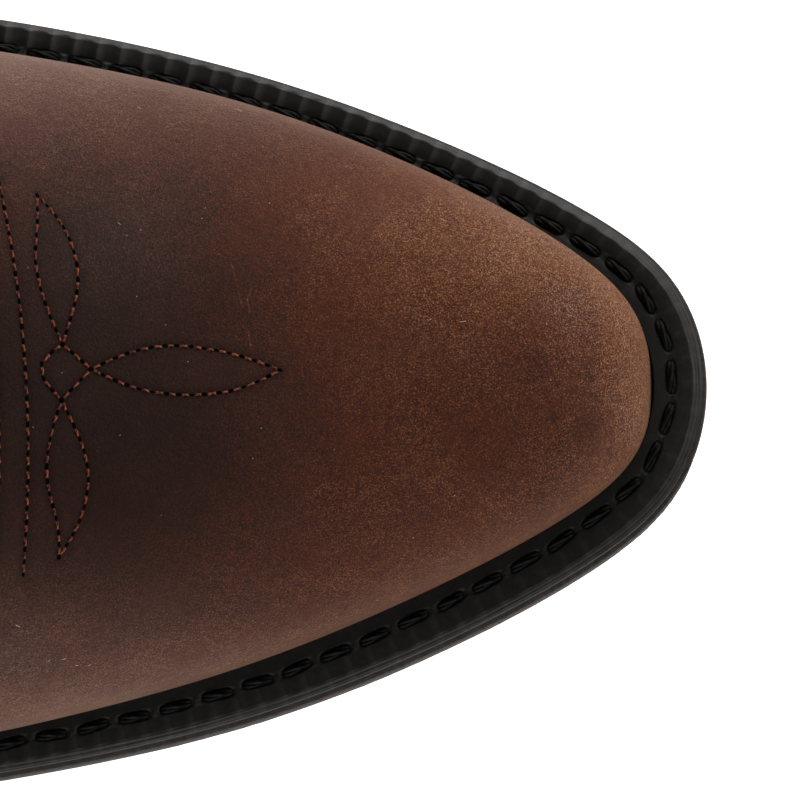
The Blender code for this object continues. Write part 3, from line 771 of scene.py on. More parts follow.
class Skin:
    """The outer face of the boot as a fine grid: rows of sections, columns from -1 lateral to 1 medial."""

    def __init__(self):
        section = natural_spline(np.arange(COLLAR_ROW + 1), section_rows())
        self.rows = np.linspace(0, COLLAR_ROW, COLLAR_ROW * GRID_STEPS_PER_ROW + 1)
        self.columns = np.linspace(-1, 1, 2 * GRID_COLUMNS + 1)
        self.points = np.array([self.section_points(row, section(row)) for row in self.rows])
        self.normals = self.grid_normals()
        self.points += self.normals * self.creases()[..., None]
        self.normals = self.grid_normals()

    def creases(self):
        """Lift of the troughs and ridges over the grid."""
        lift = np.zeros((len(self.rows), len(self.columns)))
        for row, column, row_reach, column_reach, height in CREASES:
            across = np.abs(self.columns - column)
            across = np.minimum(across, 2 - across)
            lift += height * bump(self.rows - row, row_reach)[:, None] * bump(across, column_reach)[None, :]
        return lift

    def section_points(self, row, values):
        front_x, front_z, back_x, back_z, medial, lateral, widest, *fullness, crest_y = values
        on_sole = row < HEEL_ROW
        if on_sole:
            back_z = float(insole_line(back_x))
        length = max(math.hypot(front_x - back_x, front_z - back_z), SMALLEST)
        halves = {}
        for side, half_width in ((MEDIAL, medial), (LATERAL, lateral)):
            toe_share = 1 - smoothstep(row - TOE_ROWS + TOE_BLEND_ROWS)
            half_width = blend(half_width, float(widest_half_width[side](front_x)), toe_share)
            foot = float(foot_half_width[side](back_x)) if on_sole else 0.0
            halves[side] = self.half_section(length, max(half_width, SMALLEST), foot, widest, *fullness)
        along = np.concatenate([halves[LATERAL][1][::-1], halves[MEDIAL][1][1:]])
        across = np.concatenate([-halves[LATERAL][0][::-1], halves[MEDIAL][0][1:]])
        across = across + crest_y * np.clip(along, 0, 1) ** 3
        x = blend(back_x, front_x, along)
        z = blend(back_z, front_z, along)
        return np.column_stack([x, across, z])

    @staticmethod
    def half_section(length, half_width, foot, widest, fullness, foot_fullness):
        """Half of a section, from crest to foot, as (distance out, share of the height), evenly spaced."""
        foot_turn = max(math.acos(min(foot / half_width, 1.0) ** (1 / foot_fullness)), LEAST_FOOT_TURN)
        turn = np.linspace(math.pi / 2, -foot_turn, SECTION_SAMPLES)
        power = np.where(turn > 0, fullness, foot_fullness)
        out = half_width * np.abs(np.cos(turn)) ** power
        rise = np.abs(np.sin(turn)) ** power
        depth = widest / math.sin(foot_turn) ** foot_fullness
        height = np.where(turn > 0, widest + (1 - widest) * rise, widest - depth * rise)
        steps = np.hypot(np.diff(out), np.diff(height) * length)
        travel = np.concatenate([[0], np.cumsum(steps)])
        even = np.linspace(0, travel[-1], GRID_COLUMNS + 1)
        return np.interp(even, travel, out), np.interp(even, travel, height)

    def grid_normals(self):
        down_rows = np.gradient(self.points, axis=0)
        across = np.gradient(self.points, axis=1)
        normals = np.cross(across, down_rows)
        normals /= np.maximum(np.linalg.norm(normals, axis=2, keepdims=True), SMALLEST**2)
        closed = self.rows >= HEEL_ROW
        seam = unit(normals[closed, 0] + normals[closed, -1])
        normals[closed, 0] = normals[closed, -1] = seam
        normals[0] = (1.0, 0.0, 0.0)
        return normals

    def at(self, row, column, lift=0.0):
        """Points on the skin, moved out along its normals by the lift."""
        points, normals = self.with_normals(row, column)
        return points + np.broadcast_to(lift, points.shape[:-1])[..., None] * normals

    def with_normals(self, row, column):
        row, column = np.broadcast_arrays(np.asarray(row, float), np.asarray(column, float))
        i = np.clip(row * GRID_STEPS_PER_ROW, 0, len(self.rows) - 1 - SMALLEST)
        j = np.clip((column + 1) * GRID_COLUMNS, 0, 2 * GRID_COLUMNS - SMALLEST)
        i0, j0 = i.astype(int), j.astype(int)
        u, w = (i - i0)[..., None], (j - j0)[..., None]

        def bilinear(grid):
            near = blend(grid[i0, j0], grid[i0, j0 + 1], w)
            far = blend(grid[i0 + 1, j0], grid[i0 + 1, j0 + 1], w)
            return blend(near, far, u)

        return bilinear(self.points), unit(bilinear(self.normals))


def vamp_edge(column):
    """Row of the vamp's top edge: a tongue at the instep that sweeps down either side."""
    return VAMP_ROW - VAMP_DIP * np.abs(np.sin(math.pi * np.abs(column))) ** VAMP_DIP_POWER


def collar_edge(column):
    """Row of the collar: high at the sides and scooped at the front and the back."""
    scoop = np.abs(np.cos(math.pi * column)) ** SCALLOP_POWER
    depth = np.where(np.abs(column) < SEAM_COLUMN, FRONT_SCALLOP, BACK_SCALLOP)
    return COLLAR_ROW - depth * scoop


# Meshes

def to_scene(point):
    """A point in millimetres as a vector in the part's frame."""
    return Vector(np.array(point) * MM + ORIGIN)


def stepped(*stops):
    """Values that run through the stops, each given with its number of steps to the next."""
    runs = [np.linspace(a, b, steps, endpoint=False) for (a, steps), (b, _) in zip(stops, stops[1:])]
    return np.concatenate([*runs, [stops[-1][0]]])


def grid_quads(rows, columns, wrap=False):
    """Corner numbers of a grid's quads, for points listed row by row."""
    near = np.arange(rows - 1)[:, None] * columns
    far = near + columns
    j = np.arange(columns if wrap else columns - 1)[None, :]
    k = (j + 1) % columns
    return np.stack([near + j, near + k, far + k, far + j], axis=-1).reshape(-1, 4)


def border(rows, columns):
    """Point numbers round the edge of a grid, in order."""
    first = np.arange(columns - 1)
    right = np.arange(rows - 1) * columns + columns - 1
    last = (rows - 1) * columns + np.arange(columns - 1, 0, -1)
    left = np.arange(rows - 1, 0, -1) * columns
    return np.concatenate([first, right, last, left])


def piece(name, points, faces, materials, replaced=(), values=None, outward=True, paint=None):
    """A mesh piece that rides on the boot. Points are in millimetres.

    Faces come as groups. Values are numbers a point, and paint is the material's number for each group.
    """
    mesh = bpy.data.meshes.new(name)
    for material in materials:
        mesh.materials.append(material)
    flat = np.asarray(points, float).reshape(-1, 3) * MM + ORIGIN
    mesh.from_pydata(flat.tolist(), [], [corner for part in faces for corner in np.asarray(part).tolist()])
    if paint:
        mesh.polygons.foreach_set("material_index", np.repeat(paint, [len(part) for part in faces]))
    for key, numbers in (values or {}).items():
        layer = mesh.attributes.new(key, "FLOAT", "POINT")
        layer.data.foreach_set("value", np.broadcast_to(numbers, len(flat)).astype(np.float32))
    work = bmesh.new()
    work.from_mesh(mesh)
    bmesh.ops.remove_doubles(work, verts=work.verts, dist=WELD_DISTANCE * MM)
    if outward:
        bmesh.ops.recalc_face_normals(work, faces=work.faces)
    work.to_mesh(mesh)
    work.free()
    mesh.shade_smooth()
    mesh.set_sharp_from_angle(angle=SHARP_ANGLE)
    obj = bpy.data.objects.new(name, mesh)
    bpy.context.scene.collection.objects.link(obj)
    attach(obj, BODY)
    if replaced:
        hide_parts(*replaced)
    return obj


def thicken(obj, thickness, offset=-1.0):
    """Makes a shell of an open surface."""
    wall = obj.modifiers.new("wall", "SOLIDIFY")
    wall.thickness = thickness * MM
    wall.offset = offset


def circle(sides):
    """Cosines and sines of even steps round a circle, as columns."""
    turn = np.linspace(0, 2 * math.pi, sides, endpoint=False)[:, None]
    return np.cos(turn), np.sin(turn)


def sweep(points, normals, radius, sides, closed=False):
    """Rings of points round a line, with the first point of each on the side of its normal."""
    along = np.gradient(points, axis=0)
    if closed:
        along = np.roll(points, -1, axis=0) - np.roll(points, 1, axis=0)
    along = unit(along)
    out = unit(normals - along * np.sum(normals * along, axis=1, keepdims=True))
    across = np.cross(along, out)
    cosines, sines = circle(sides)
    return points[:, None] + radius * (out[:, None] * cosines + across[:, None] * sines)


def cord_faces(rings, sides, closed=False):
    """Faces of a cord: its side, and its two ends unless it is closed."""
    faces = grid_quads(rings + 1 if closed else rings, sides, wrap=True)
    if closed:
        return [faces % (rings * sides)]
    ends = [np.arange(sides)[None, ::-1], ((rings - 1) * sides + np.arange(sides))[None]]
    return [faces, *ends]


def repeated(faces, copies, points_each):
    """Groups of faces, repeated for copies of a shape."""
    starts = np.arange(copies)[:, None, None] * points_each
    return [(part[None] + starts).reshape(-1, part.shape[-1]) for part in faces]


def search_tree(points):
    """A tree that finds the nearest of some points."""
    tree = KDTree(len(points))
    for i, point in enumerate(points):
        tree.insert(point, i)
    tree.balance()
    return tree


def smoothed(values, passes=6):
    """Values along a line, evened out between their ends."""
    for _ in range(passes):
        values[1:-1] = (values[:-2] + 2 * values[1:-1] + values[2:]) / 4
    return values


def softened(to_edge):
    """How far a panel drops at a distance from its edge."""
    return EDGE_DROP * np.clip(1 - to_edge / EDGE_REACH, 0, 1) ** 2


# Finishes

class Finish:
    """A node material. A node's inputs are plain values or the outputs of other nodes."""

    def __init__(self, name, **sockets):
        self.material = bpy.data.materials.new(name)
        self.material.use_nodes = True
        self.tree = self.material.node_tree
        self.shader = self.tree.nodes["Principled BSDF"]
        self.place = self.node("TexCoord", output="Object")
        self.set(**sockets)

    def feed(self, socket, value):
        if isinstance(value, bpy.types.NodeSocket):
            self.tree.links.new(value, socket)
        else:
            socket.default_value = value

    def node(self, kind, inputs=None, output=0, **settings):
        node = self.tree.nodes.new("ShaderNode" + kind)
        for key, value in settings.items():
            setattr(node, key, value)
        for key, value in (inputs or {}).items():
            self.feed(node.inputs[key], value)
        return node.outputs[output]

    def set(self, **sockets):
        """Inputs of the shader, named with _ for a space."""
        for key, value in sockets.items():
            self.feed(self.shader.inputs[key.replace("_", " ")], value)

    def noise(self, size, detail=2.0, roughness=0.5):
        """Noise with features of a size in millimetres."""
        inputs = {"Vector": self.place, "Scale": 1 / (size * MM), "Detail": detail, "Roughness": roughness}
        return self.node("TexNoise", inputs)

    def math(self, operation, first, second=0.0, third=0.0):
        return self.node("Math", {0: first, 1: second, 2: third}, operation=operation)

    def spread(self, value, low, high, start=0.0, end=1.0):
        """A value from start to end moved into a range, and held at its limits beyond."""
        inputs = {"Value": value, "From Min": start, "From Max": end, "To Min": low, "To Max": high}
        return self.node("MapRange", inputs)

    def value(self, name):
        return self.node("Attribute", output="Fac", attribute_name=name)

    def scratches(self, lines, reach):
        """1 on straight lines given by their ends, seen from above, falling to 0 at the reach."""
        flat = self.node("VectorMath", {0: self.place, 1: (1.0, 1.0, 0.0)}, operation="MULTIPLY")
        total = 0.0
        for start, end in lines:
            start, end = to_scene((*start, 0.0)), to_scene((*end, 0.0))
            along = (end - start).normalized()
            length = (end - start).length
            apart = self.node("VectorMath", {0: flat, 1: start}, operation="SUBTRACT")
            run = self.node("VectorMath", {0: apart, 1: along}, output="Value", operation="DOT_PRODUCT")
            run = self.spread(run, 0.0, length, 0.0, length)
            nearest = self.node("VectorMath", {0: along, "Scale": run}, operation="SCALE")
            gap = self.node("VectorMath", {0: apart, 1: nearest}, output="Value", operation="DISTANCE")
            total = self.math("ADD", total, self.spread(gap, 1.0, 0.0, 0.0, reach * MM))
        return total

    def ramp(self, value, *stops):
        """Colours (position, colour) blended over a value."""
        node = self.node("ValToRGB", {"Fac": value}).node
        elements = node.color_ramp.elements
        while len(elements) < len(stops):
            elements.new(1.0)
        for element, (position, colour) in zip(elements, stops):
            element.position = position
            element.color = (*colour, 1.0)
        return node.outputs["Color"]

    def relief(self, height, distance, strength=1.0, under=None):
        """Bump of a height in millimetres."""
        inputs = {"Height": height, "Distance": distance * MM, "Strength": strength}
        if under is not None:
            inputs["Normal"] = under
        return self.node("Bump", inputs, output="Normal")


def leather_finish():
    """Oiled nubuck: a tone painted on the mesh, broken up by clouds, mottle and fine speckle."""
    finish = Finish("oiled_leather", Specular_IOR_Level=0.03, Sheen_Weight=0.09, Sheen_Roughness=0.4)
    finish.set(Sheen_Tint=LEATHER_SHEEN)
    clouds = finish.spread(finish.noise(9.0, 3.0, 0.55), -0.09, 0.09)
    # The tone attribute holds painted shade over the toe's top and painted side light at its rims, besides
    # the leather's own colour
    tone = finish.math("ADD", finish.value("tone"), clouds)
    speckle = finish.spread(finish.noise(0.21, 1.0, 0.5), -0.20, 0.85, 0.40, 0.80)
    mottle = finish.spread(finish.noise(1.1, 2.0, 0.6), -0.28, 0.28)
    patches = finish.spread(finish.noise(7.0, 2.0, 0.5), 0.4, 1.5)
    strength = finish.math("SUBTRACT", patches, finish.value("calm"))
    nap = finish.math("MULTIPLY", finish.math("ADD", speckle, mottle), strength)
    depth = finish.math("ADD", tone, 0.15)
    tone = finish.math("MULTIPLY_ADD", nap, depth, tone)
    broken = finish.spread(finish.noise(0.9), 0.04, 0.32, 0.35, 0.6)
    tone = finish.math("MULTIPLY_ADD", finish.scratches(SCRATCHES, SCRATCH_REACH), broken, tone)
    colour = finish.ramp(tone, *OILED_LEATHER)
    drift = finish.spread(finish.noise(13.0, 2.0, 0.5), 0.93, 1.07)
    # Duller colour, partly painted sheen along the vamp's rims
    saturation = finish.math("SUBTRACT", drift, finish.value("dull"))
    finish.set(Base_Color=finish.node("HueSaturation", {"Color": colour, "Saturation": saturation}))
    finish.set(Roughness=finish.spread(finish.noise(2.4), 0.52, 0.72))
    pores = finish.relief(finish.noise(0.40, 2.0, 0.6), 0.14, 0.9)
    finish.set(Normal=finish.relief(finish.noise(3.2, 2.0), 0.12, 0.5, pores))
    return finish.material


def lining_finish():
    """Smooth tan lining leather with faint clouds."""
    finish = Finish("tan_lining_leather", Specular_IOR_Level=0.3)
    clouds = finish.noise(14.0, 4.0, 0.6)
    darker = tuple(0.72 * part for part in TAN_LINING)
    finish.set(Base_Color=finish.ramp(clouds, (0.25, darker), (0.75, TAN_LINING)))
    finish.set(Roughness=finish.spread(finish.noise(3.0), 0.55, 0.78))
    finish.set(Normal=finish.relief(finish.noise(0.7, 3.0), 0.08, 0.5))
    return finish.material


def rubber_finish(name, dark, worn, roughness, dust):
    """Moulded rubber: nearly black, with a dusty bloom and fine pitting."""
    finish = Finish(name, Specular_IOR_Level=0.16)
    bloom = finish.noise(0.9, 4.0, 0.7)
    # The attribute is wear mixed with painted light and shade on the welt and on the sole's top ledge
    tone = finish.math("ADD", finish.value("wear_and_painted_light"), finish.spread(bloom, -dust, dust))
    finish.set(Base_Color=finish.ramp(tone, (0.1, dark), (0.9, worn)))
    finish.set(Roughness=finish.spread(finish.noise(0.8, 3.0), roughness - 0.1, roughness + 0.14))
    finish.set(Normal=finish.relief(finish.noise(0.5, 3.0), 0.05, 0.5))
    return finish.material


def heel_finish():
    """Stacked leather, edge dressed in black, with its grain drawn out level."""
    finish = Finish("dressed_stack", Specular_IOR_Level=0.2)
    streaks = finish.node("Mapping", {"Vector": finish.place, "Scale": (1.0, 1.0, 9.0)})
    grain = finish.node("TexNoise", {"Vector": streaks, "Scale": 320.0, "Detail": 4.0})
    dark, light = HEEL_STACK
    finish.set(Base_Color=finish.ramp(grain, (0.3, dark), (0.75, light)))
    finish.set(Roughness=finish.spread(grain, 0.36, 0.58))
    finish.set(Normal=finish.relief(grain, 0.06, 0.6))
    return finish.material


def thread_finish(name, dark, light, roughness, gloss):
    """Twisted thread: its fibres show as light and dark."""
    finish = Finish(name, Specular_IOR_Level=gloss, Roughness=roughness)
    fibres = finish.noise(0.5, 2.0, 0.6)
    finish.set(Base_Color=finish.ramp(fibres, (0.36, dark), (0.66, light)))
    finish.set(Normal=finish.relief(finish.noise(0.16, 2.0), 0.05, 0.7))
    return finish.material


def mottled_finish(name, dark, light, size, light_from=0.7, **sockets):
    """A plain matt surface, mottled between two colours at a size in millimetres."""
    finish = Finish(name, **sockets)
    finish.set(Base_Color=finish.ramp(finish.noise(size), (0.3, dark), (light_from, light)))
    return finish.material


# Stitches

class Stitches:
    """Stitches gathered from several lines, made into one mesh of threads and one of dark discs, painted
    shade in the needle holes.
    """

    def __init__(self):
        self.middles, self.along, self.out, self.lengths, self.ends = [], [], [], [], []

    def sew(self, points, normals, pitch, share=SEAM_THREAD_SHARE, slant=0.0, unevenness=0.0):
        """Stitches along a line of points, each turned out of the line by about the slant."""
        travel = travel_along(points)
        count = max(1, round(travel[-1] / pitch))
        marks = np.linspace(0, travel[-1], count + 1)
        marks[1:-1] += pitch * unevenness * random.uniform(-1, 1, count - 1)
        holes = np.column_stack([np.interp(marks, travel, column) for column in points.T])
        out = unit(np.column_stack([np.interp(marks, travel, column) for column in normals.T]))
        runs = holes[1:] - holes[:-1]
        upward = unit(out[1:] + out[:-1])
        turn = slant + SLANT_SPREAD * random.uniform(-1, 1, (count, 1)) * (unevenness > 0)
        along = unit(runs) * np.cos(turn) + np.cross(unit(runs), upward) * np.sin(turn)
        self.lay((holes[1:] + holes[:-1]) / 2, along, upward, np.linalg.norm(runs, axis=1) * share)
        self.ends.append((holes, unit(np.gradient(holes, axis=0)), out))

    def lay(self, middles, along, out, lengths):
        """Pieces of thread, each at its own place."""
        self.middles.append(middles)
        self.along.append(along)
        self.out.append(out)
        self.lengths.append(lengths)

    def frames(self):
        """Middle, directions and length of every stitch."""
        middles, along, out = (np.concatenate(part) for part in (self.middles, self.along, self.out))
        return middles, along, out, np.cross(along, out), np.concatenate(self.lengths)

    def threads(self, name, radius, material, slot, plies=1, arch=0.7, twist=0.0, rings=7, sides=6):
        """Every stitch as a thread that arches out of the leather, or as several twisted plies."""
        middles, along, out, across, lengths = self.frames()
        run = np.linspace(-1, 1, rings)
        rise = radius * (arch * (1 - run**2) - STITCH_DIVE * np.abs(run) ** STITCH_DIVE_POWER)
        taper = np.sqrt(np.maximum(1 - np.abs(run) ** TAPER_POWER, LEAST_TAPER))
        cosines, sines = circle(sides)
        ring = cosines * out[:, None, None] + sines * across[:, None, None]
        ply_radius = radius if plies == 1 else radius * PLY_RADIUS
        spiral = 0.0 if plies == 1 else radius * PLY_SPIRAL
        points = []
        for ply in range(plies):
            winding = 2 * math.pi * ply / plies + run * math.pi * twist
            up = rise + spiral * np.cos(winding) * taper
            aside = spiral * np.sin(winding) * taper
            centre = (
                middles[:, None]
                + along[:, None] * (lengths[:, None] / 2 * run)[..., None]
                + out[:, None] * up[:, None]
                + across[:, None] * aside[:, None]
            )
            points.append(centre[:, :, None] + (ply_radius * taper)[:, None, None] * ring)
        points = np.stack(points, axis=1)
        faces = repeated(cord_faces(rings, sides), len(middles) * plies, rings * sides)
        return piece(name, points, faces, [material], outward=False)

    def holes(self, name, radius, material, slot, sides=10):
        """A near-black disc at each end of each stitch, painted shade standing for the inside of its needle
        hole.
        """
        cosines, sines = circle(sides)
        points = []
        for middles, along, out in self.ends:
            across = np.cross(along, out)
            ring = HOLE_LENGTH * cosines * along[:, None] + sines * across[:, None]
            ring *= radius * random.uniform(*HOLE_SIZES, (len(middles), 1, 1))
            edge = middles[:, None] + ring - HOLE_SINK * out[:, None]
            cap = middles[:, None] + HOLE_CAP_SHARE * ring + HOLE_CAP_LIFT * out[:, None]
            top = middles[:, None] + HOLE_TOP_LIFT * out[:, None]
            points.append(np.concatenate([edge, cap, top], axis=1))
        points = np.concatenate(points)
        j = np.arange(sides)
        k = (j + 1) % sides
        skirt = np.column_stack([j, k, sides + k, sides + j])
        lid = np.column_stack([sides + j, sides + k, np.full(sides, 2 * sides)])
        faces = repeated([skirt, lid], len(points), 2 * sides + 1)
        return piece(name, points, faces, [material], outward=False)


def leaf_side(base, tip, side, bulges):
    """One side of a stitched leaf, from its base to its tip, seen from above: 1 is left, -1 is right."""
    base, tip = np.array(base), np.array(tip)
    run = np.linspace(0, 1, LEAF_SAMPLES)
    axis = tip - base
    left = np.array([-axis[1], axis[0]]) / np.linalg.norm(axis)
    swell = side * natural_spline(LEAF_SHARES, bulges)(run)
    return base + run[:, None] * axis + swell[:, None] * left


def toe_lines():
    """Lines of the toe stitching, seen from above, each with the slant of its stitches."""
    lines = []
    for base, tip, left_bulges, right_bulges in LEAVES:
        lines.append((leaf_side(base, tip, 1, left_bulges), 0.0))
        lines.append((leaf_side(base, tip, -1, right_bulges), 0.0))
    top, front, bottom, back = np.array(DIAMOND)
    for start, end in ((top, front), (front, bottom)):
        lines.append((blend(start, end, np.linspace(0, 1, DIAMOND_SAMPLES)[:, None]), 0.0))
    rounded = natural_spline((0.0, 1.0, 2.0), np.array([bottom, back, top]))
    lines.append((rounded(np.linspace(0, 2, 2 * DIAMOND_SAMPLES)), 0.0))
    for front_x, middle, bend, lateral_end, medial_end in WRINKLE_ROWS:
        y = np.linspace(lateral_end, medial_end, TOE_ROW_SAMPLES)
        lines.append((np.column_stack([front_x - bend * (y - middle) ** 2, y]), ROW_SLANT))
    return lines


def foot_tree(skin):
    """The foot of the boot, to cast rays at."""
    rows = np.linspace(0, HEEL_ROW, TREE_ROWS)
    columns = np.linspace(-1, 1, TREE_COLUMNS)
    points = skin.at(rows[:, None], columns[None, :]).reshape(-1, 3)
    return BVHTree.FromPolygons(points.tolist(), grid_quads(TREE_ROWS, TREE_COLUMNS).tolist())


def laid_on(tree, line):
    """Points (x, y) seen from above, laid on the boot, and the normals there."""
    hits = [tree.ray_cast(Vector((x, y, ABOVE_FOOT)), Vector((0.0, 0.0, -1.0))) for x, y in line]
    points = np.array([hit[0] for hit in hits])
    normals = np.array([hit[1] for hit in hits])
    return points, normals * np.sign(normals[:, 2:])


def build_lint(skin, tree, material):
    """The specks and fibres seen in the photograph, and a few more scattered over the vamp."""
    x, y, degrees, lengths = columns_of(LINT)
    points, normals = laid_on(tree, np.column_stack([x, y]))
    rows = random.uniform(*LINT_ROWS, SCATTERED_LINT)
    more, more_normals = skin.with_normals(rows, random.uniform(*LINT_COLUMNS, SCATTERED_LINT))
    points = np.concatenate([points, more])
    normals = np.concatenate([normals, more_normals])
    turns = np.radians(np.concatenate([degrees, random.uniform(0, 360, SCATTERED_LINT)]))
    lengths = np.concatenate([lengths, random.uniform(*LINT_LENGTHS, SCATTERED_LINT)])
    heading = np.column_stack([np.cos(turns), np.sin(turns), np.zeros(len(turns))])
    along = unit(heading - normals * np.sum(heading * normals, axis=1, keepdims=True))
    lint = Stitches()
    lint.lay(points, along, normals, lengths)
    return lint.threads("lint", LINT_RADIUS, material, "brown_leather", sides=5)


# Upper

def zoned(points, zones, base=0.0):
    """A value painted over the vamp as soft zones."""
    value = np.full(points.shape[:-1], base)
    for x, y, along, across, change in zones:
        value += change * bump(points[..., 0] - x, along) * bump(points[..., 1] - y, across)
    return value


def build_vamp(skin, leather, stitch_points):
    """The leather over the foot, finest where the toe is stitched and coarse on its hidden inside."""
    shares = stepped(*VAMP_SHARES)
    columns = stepped(*VAMP_COLUMNS)
    rows = shares[:, None] * vamp_edge(columns)[None, :]
    points, normals = skin.with_normals(rows, columns[None, :])
    drop = softened((1 - shares) * VAMP_ROW * ROW_LENGTH)
    near = search_tree(stitch_points)
    gaps = np.array([near.find(point)[2] for point in points.reshape(-1, 3)]).reshape(rows.shape)
    groove = bump(gaps, GROOVE_REACH)
    outer = points - normals * (drop[:, None] + GROOVE_DEPTH * groove)[..., None]
    inner = (points - normals * OVERLAY_THICKNESS)[::INNER_STEP, ::INNER_STEP]
    count = rows.size
    dense = border(*outer.shape[:2])
    coarse = border(*inner.shape[:2]) + count
    fans = []
    for j in range(INNER_STEP):
        start = dense[j::INNER_STEP]
        end = np.roll(dense, -1)[j::INNER_STEP]
        fans.append(np.column_stack([start, end, coarse]))
    fans.append(np.column_stack([np.roll(dense[::INNER_STEP], -1), np.roll(coarse, -1), coarse]))
    faces = [grid_quads(*outer.shape[:2]), grid_quads(*inner.shape[:2]) + count, *fans]
    # The vamp's tone mixes its own colour with painted light, and painted shade along the stitch grooves
    painted = {
        "tone": zoned(points, VAMP_ZONES, VAMP_TONE) - GROOVE_PAINTED_SHADE * groove,
        "dull": zoned(points, DULL_ZONES),
        "calm": np.clip(zoned(points, CALM_ZONES), *CALM_LIMITS),
    }
    hidden = np.full(inner.shape[0] * inner.shape[1], VAMP_TONE)
    values = {key: np.concatenate([value.ravel(), hidden]) for key, value in painted.items()}
    everything = np.concatenate([outer.reshape(-1, 3), inner.reshape(-1, 3)])
    return piece("vamp_leather", everything, faces, [leather], ["vamp"], values)


def build_upper(skin, leather, lining):
    """The hollow body: leather outside and lining inside, from the insole to the collar."""
    columns = np.linspace(-1, 1, UPPER_COLUMNS)
    edge, collar = vamp_edge(columns), collar_edge(columns)
    eased = np.sin(np.linspace(0, math.pi / 2, INSTEP_STEPS + 1))
    foot_rows = [edge * share for share in np.linspace(0, 1, FOOT_STEPS + 1)]
    instep_rows = [blend(edge, HEEL_ROW, share) for share in eased]
    shaft_rows = [blend(HEEL_ROW, collar, share) for share in np.linspace(0, 1, SHAFT_STEPS + 1)]
    rows = np.array(foot_rows + instep_rows[1:] + shaft_rows[1:])
    outer = skin.at(rows, columns[None, :], UPPER_LIFT)
    inner = skin.at(rows, columns[None, :], UPPER_LIFT - UPPER_THICKNESS)
    width, count = UPPER_COLUMNS, rows.size
    foot = np.arange(FOOT_STEPS + INSTEP_STEPS) * width
    top = (len(rows) - 1) * width + np.arange(width - 1)
    edges = [(foot, foot + width), (foot + width - 1, foot + 2 * width - 1), (top, top + 1)]
    rims = [np.column_stack([start, end, end + count, start + count]) for start, end in edges]
    quads = grid_quads(*rows.shape)
    # Painted shade darkening the leather along the side seams
    seam = bump(np.abs(np.abs(columns) - SEAM_COLUMN), SEAM_PAINTED_SHADE_REACH)
    to_collar = (rows - COLLAR_ROW + COLLAR_TONE_ROWS) / COLLAR_TONE_ROWS
    tone = SHAFT_TONE + SEAM_PAINTED_SHADE * seam[None, :] + COLLAR_TONE * smoothstep(to_collar)
    values = {"tone": np.tile(tone.ravel(), 2)}
    points = np.concatenate([outer.reshape(-1, 3), inner.reshape(-1, 3)])
    faces = [quads, quads[:, ::-1] + count, *rims]
    paint = [0, 1, 0, 0, 0]
    materials = [leather, lining]
    return piece("shaft_leather", points, faces, materials, ["upper"], values, paint=paint)


def counter_edge(skin, rows, side):
    """Column where each row leaves the heel counter's side outline."""
    x, z = columns_of(COUNTER_OUTLINE)
    turn = natural_spline(np.arange(len(x)), np.column_stack([x, z]))
    outline = turn(np.linspace(0, len(x) - 1, SEARCH_SAMPLES))[::-1]
    columns = np.linspace(1.0, COUNTER_FRONT, SEARCH_SAMPLES)
    edge = []
    for row in rows:
        points = skin.at(row, side * columns)
        above = points[:, 2] - np.interp(points[:, 0], outline[:, 0], outline[:, 1])
        out = np.nonzero((above > 0) | (points[:, 0] > x[0]))[0]
        edge.append(columns[max(out[0] - 1, 0)] if len(out) else columns[-1])
    return np.array(edge)


def build_counter(skin, leather, stitches):
    """The leather round the back of the heel, with two rows of stitches along its edge."""
    rows = np.linspace(*COUNTER_ROWS, COUNTER_STEPS)
    shares = np.concatenate([COUNTER_EDGE_SHARES, np.linspace(*COUNTER_SHARES)])
    points, tones, faces, start = [], [], [], 0
    for side in (MEDIAL, LATERAL):
        edge = smoothed(counter_edge(skin, rows, side))
        edge[0] = edge[-1] = 1.0
        columns = side * blend(edge[:, None], 1.0, shares[None, :])
        to_edge = shares[None, :] * (1 - edge[:, None]) * COUNTER_COLUMN_LENGTH
        grid = skin.at(rows[:, None], columns, -softened(to_edge))
        points.append(grid.reshape(-1, 3))
        tone = COUNTER_TONE + COUNTER_EDGE_TONE * bump(to_edge, COUNTER_EDGE_REACH)
        tones.append(tone.ravel())
        quads = grid_quads(*grid.shape[:2])
        faces.append((quads if side == MEDIAL else quads[:, ::-1]) + start)
        start += columns.size
        for inset in SEAM_INSETS:
            inner = edge + inset / COUNTER_COLUMN_LENGTH
            kept = inner < 1.0
            stitches.sew(*skin.with_normals(rows[kept], side * inner[kept]), SEAM_STITCH)
    points = np.concatenate(points)
    values = {"tone": np.concatenate(tones)}
    name, node = "heel_counter_leather", "heel_counter"
    thicken(piece(name, points, faces, [leather], [node], values), OVERLAY_THICKNESS)


def row_at_height(skin, column, height):
    """Row where a column of the shaft has a height."""
    rows = np.linspace(HEEL_ROW, COLLAR_ROW, SEARCH_SAMPLES)
    return float(np.interp(height, skin.at(rows, column)[:, 2], rows))


def column_at_length(skin, row, side, x):
    """Column where a row has a distance x from the back of the heel seat."""
    columns = side * np.linspace(1, 0, SEARCH_SAMPLES)
    return float(np.interp(x, skin.at(row, columns)[:, 0], columns))


def collar_height(skin, side):
    """Height of the collar where it meets a side seam."""
    return float(skin.at(collar_edge(np.array(side * SEAM_COLUMN)), side * SEAM_COLUMN)[2])


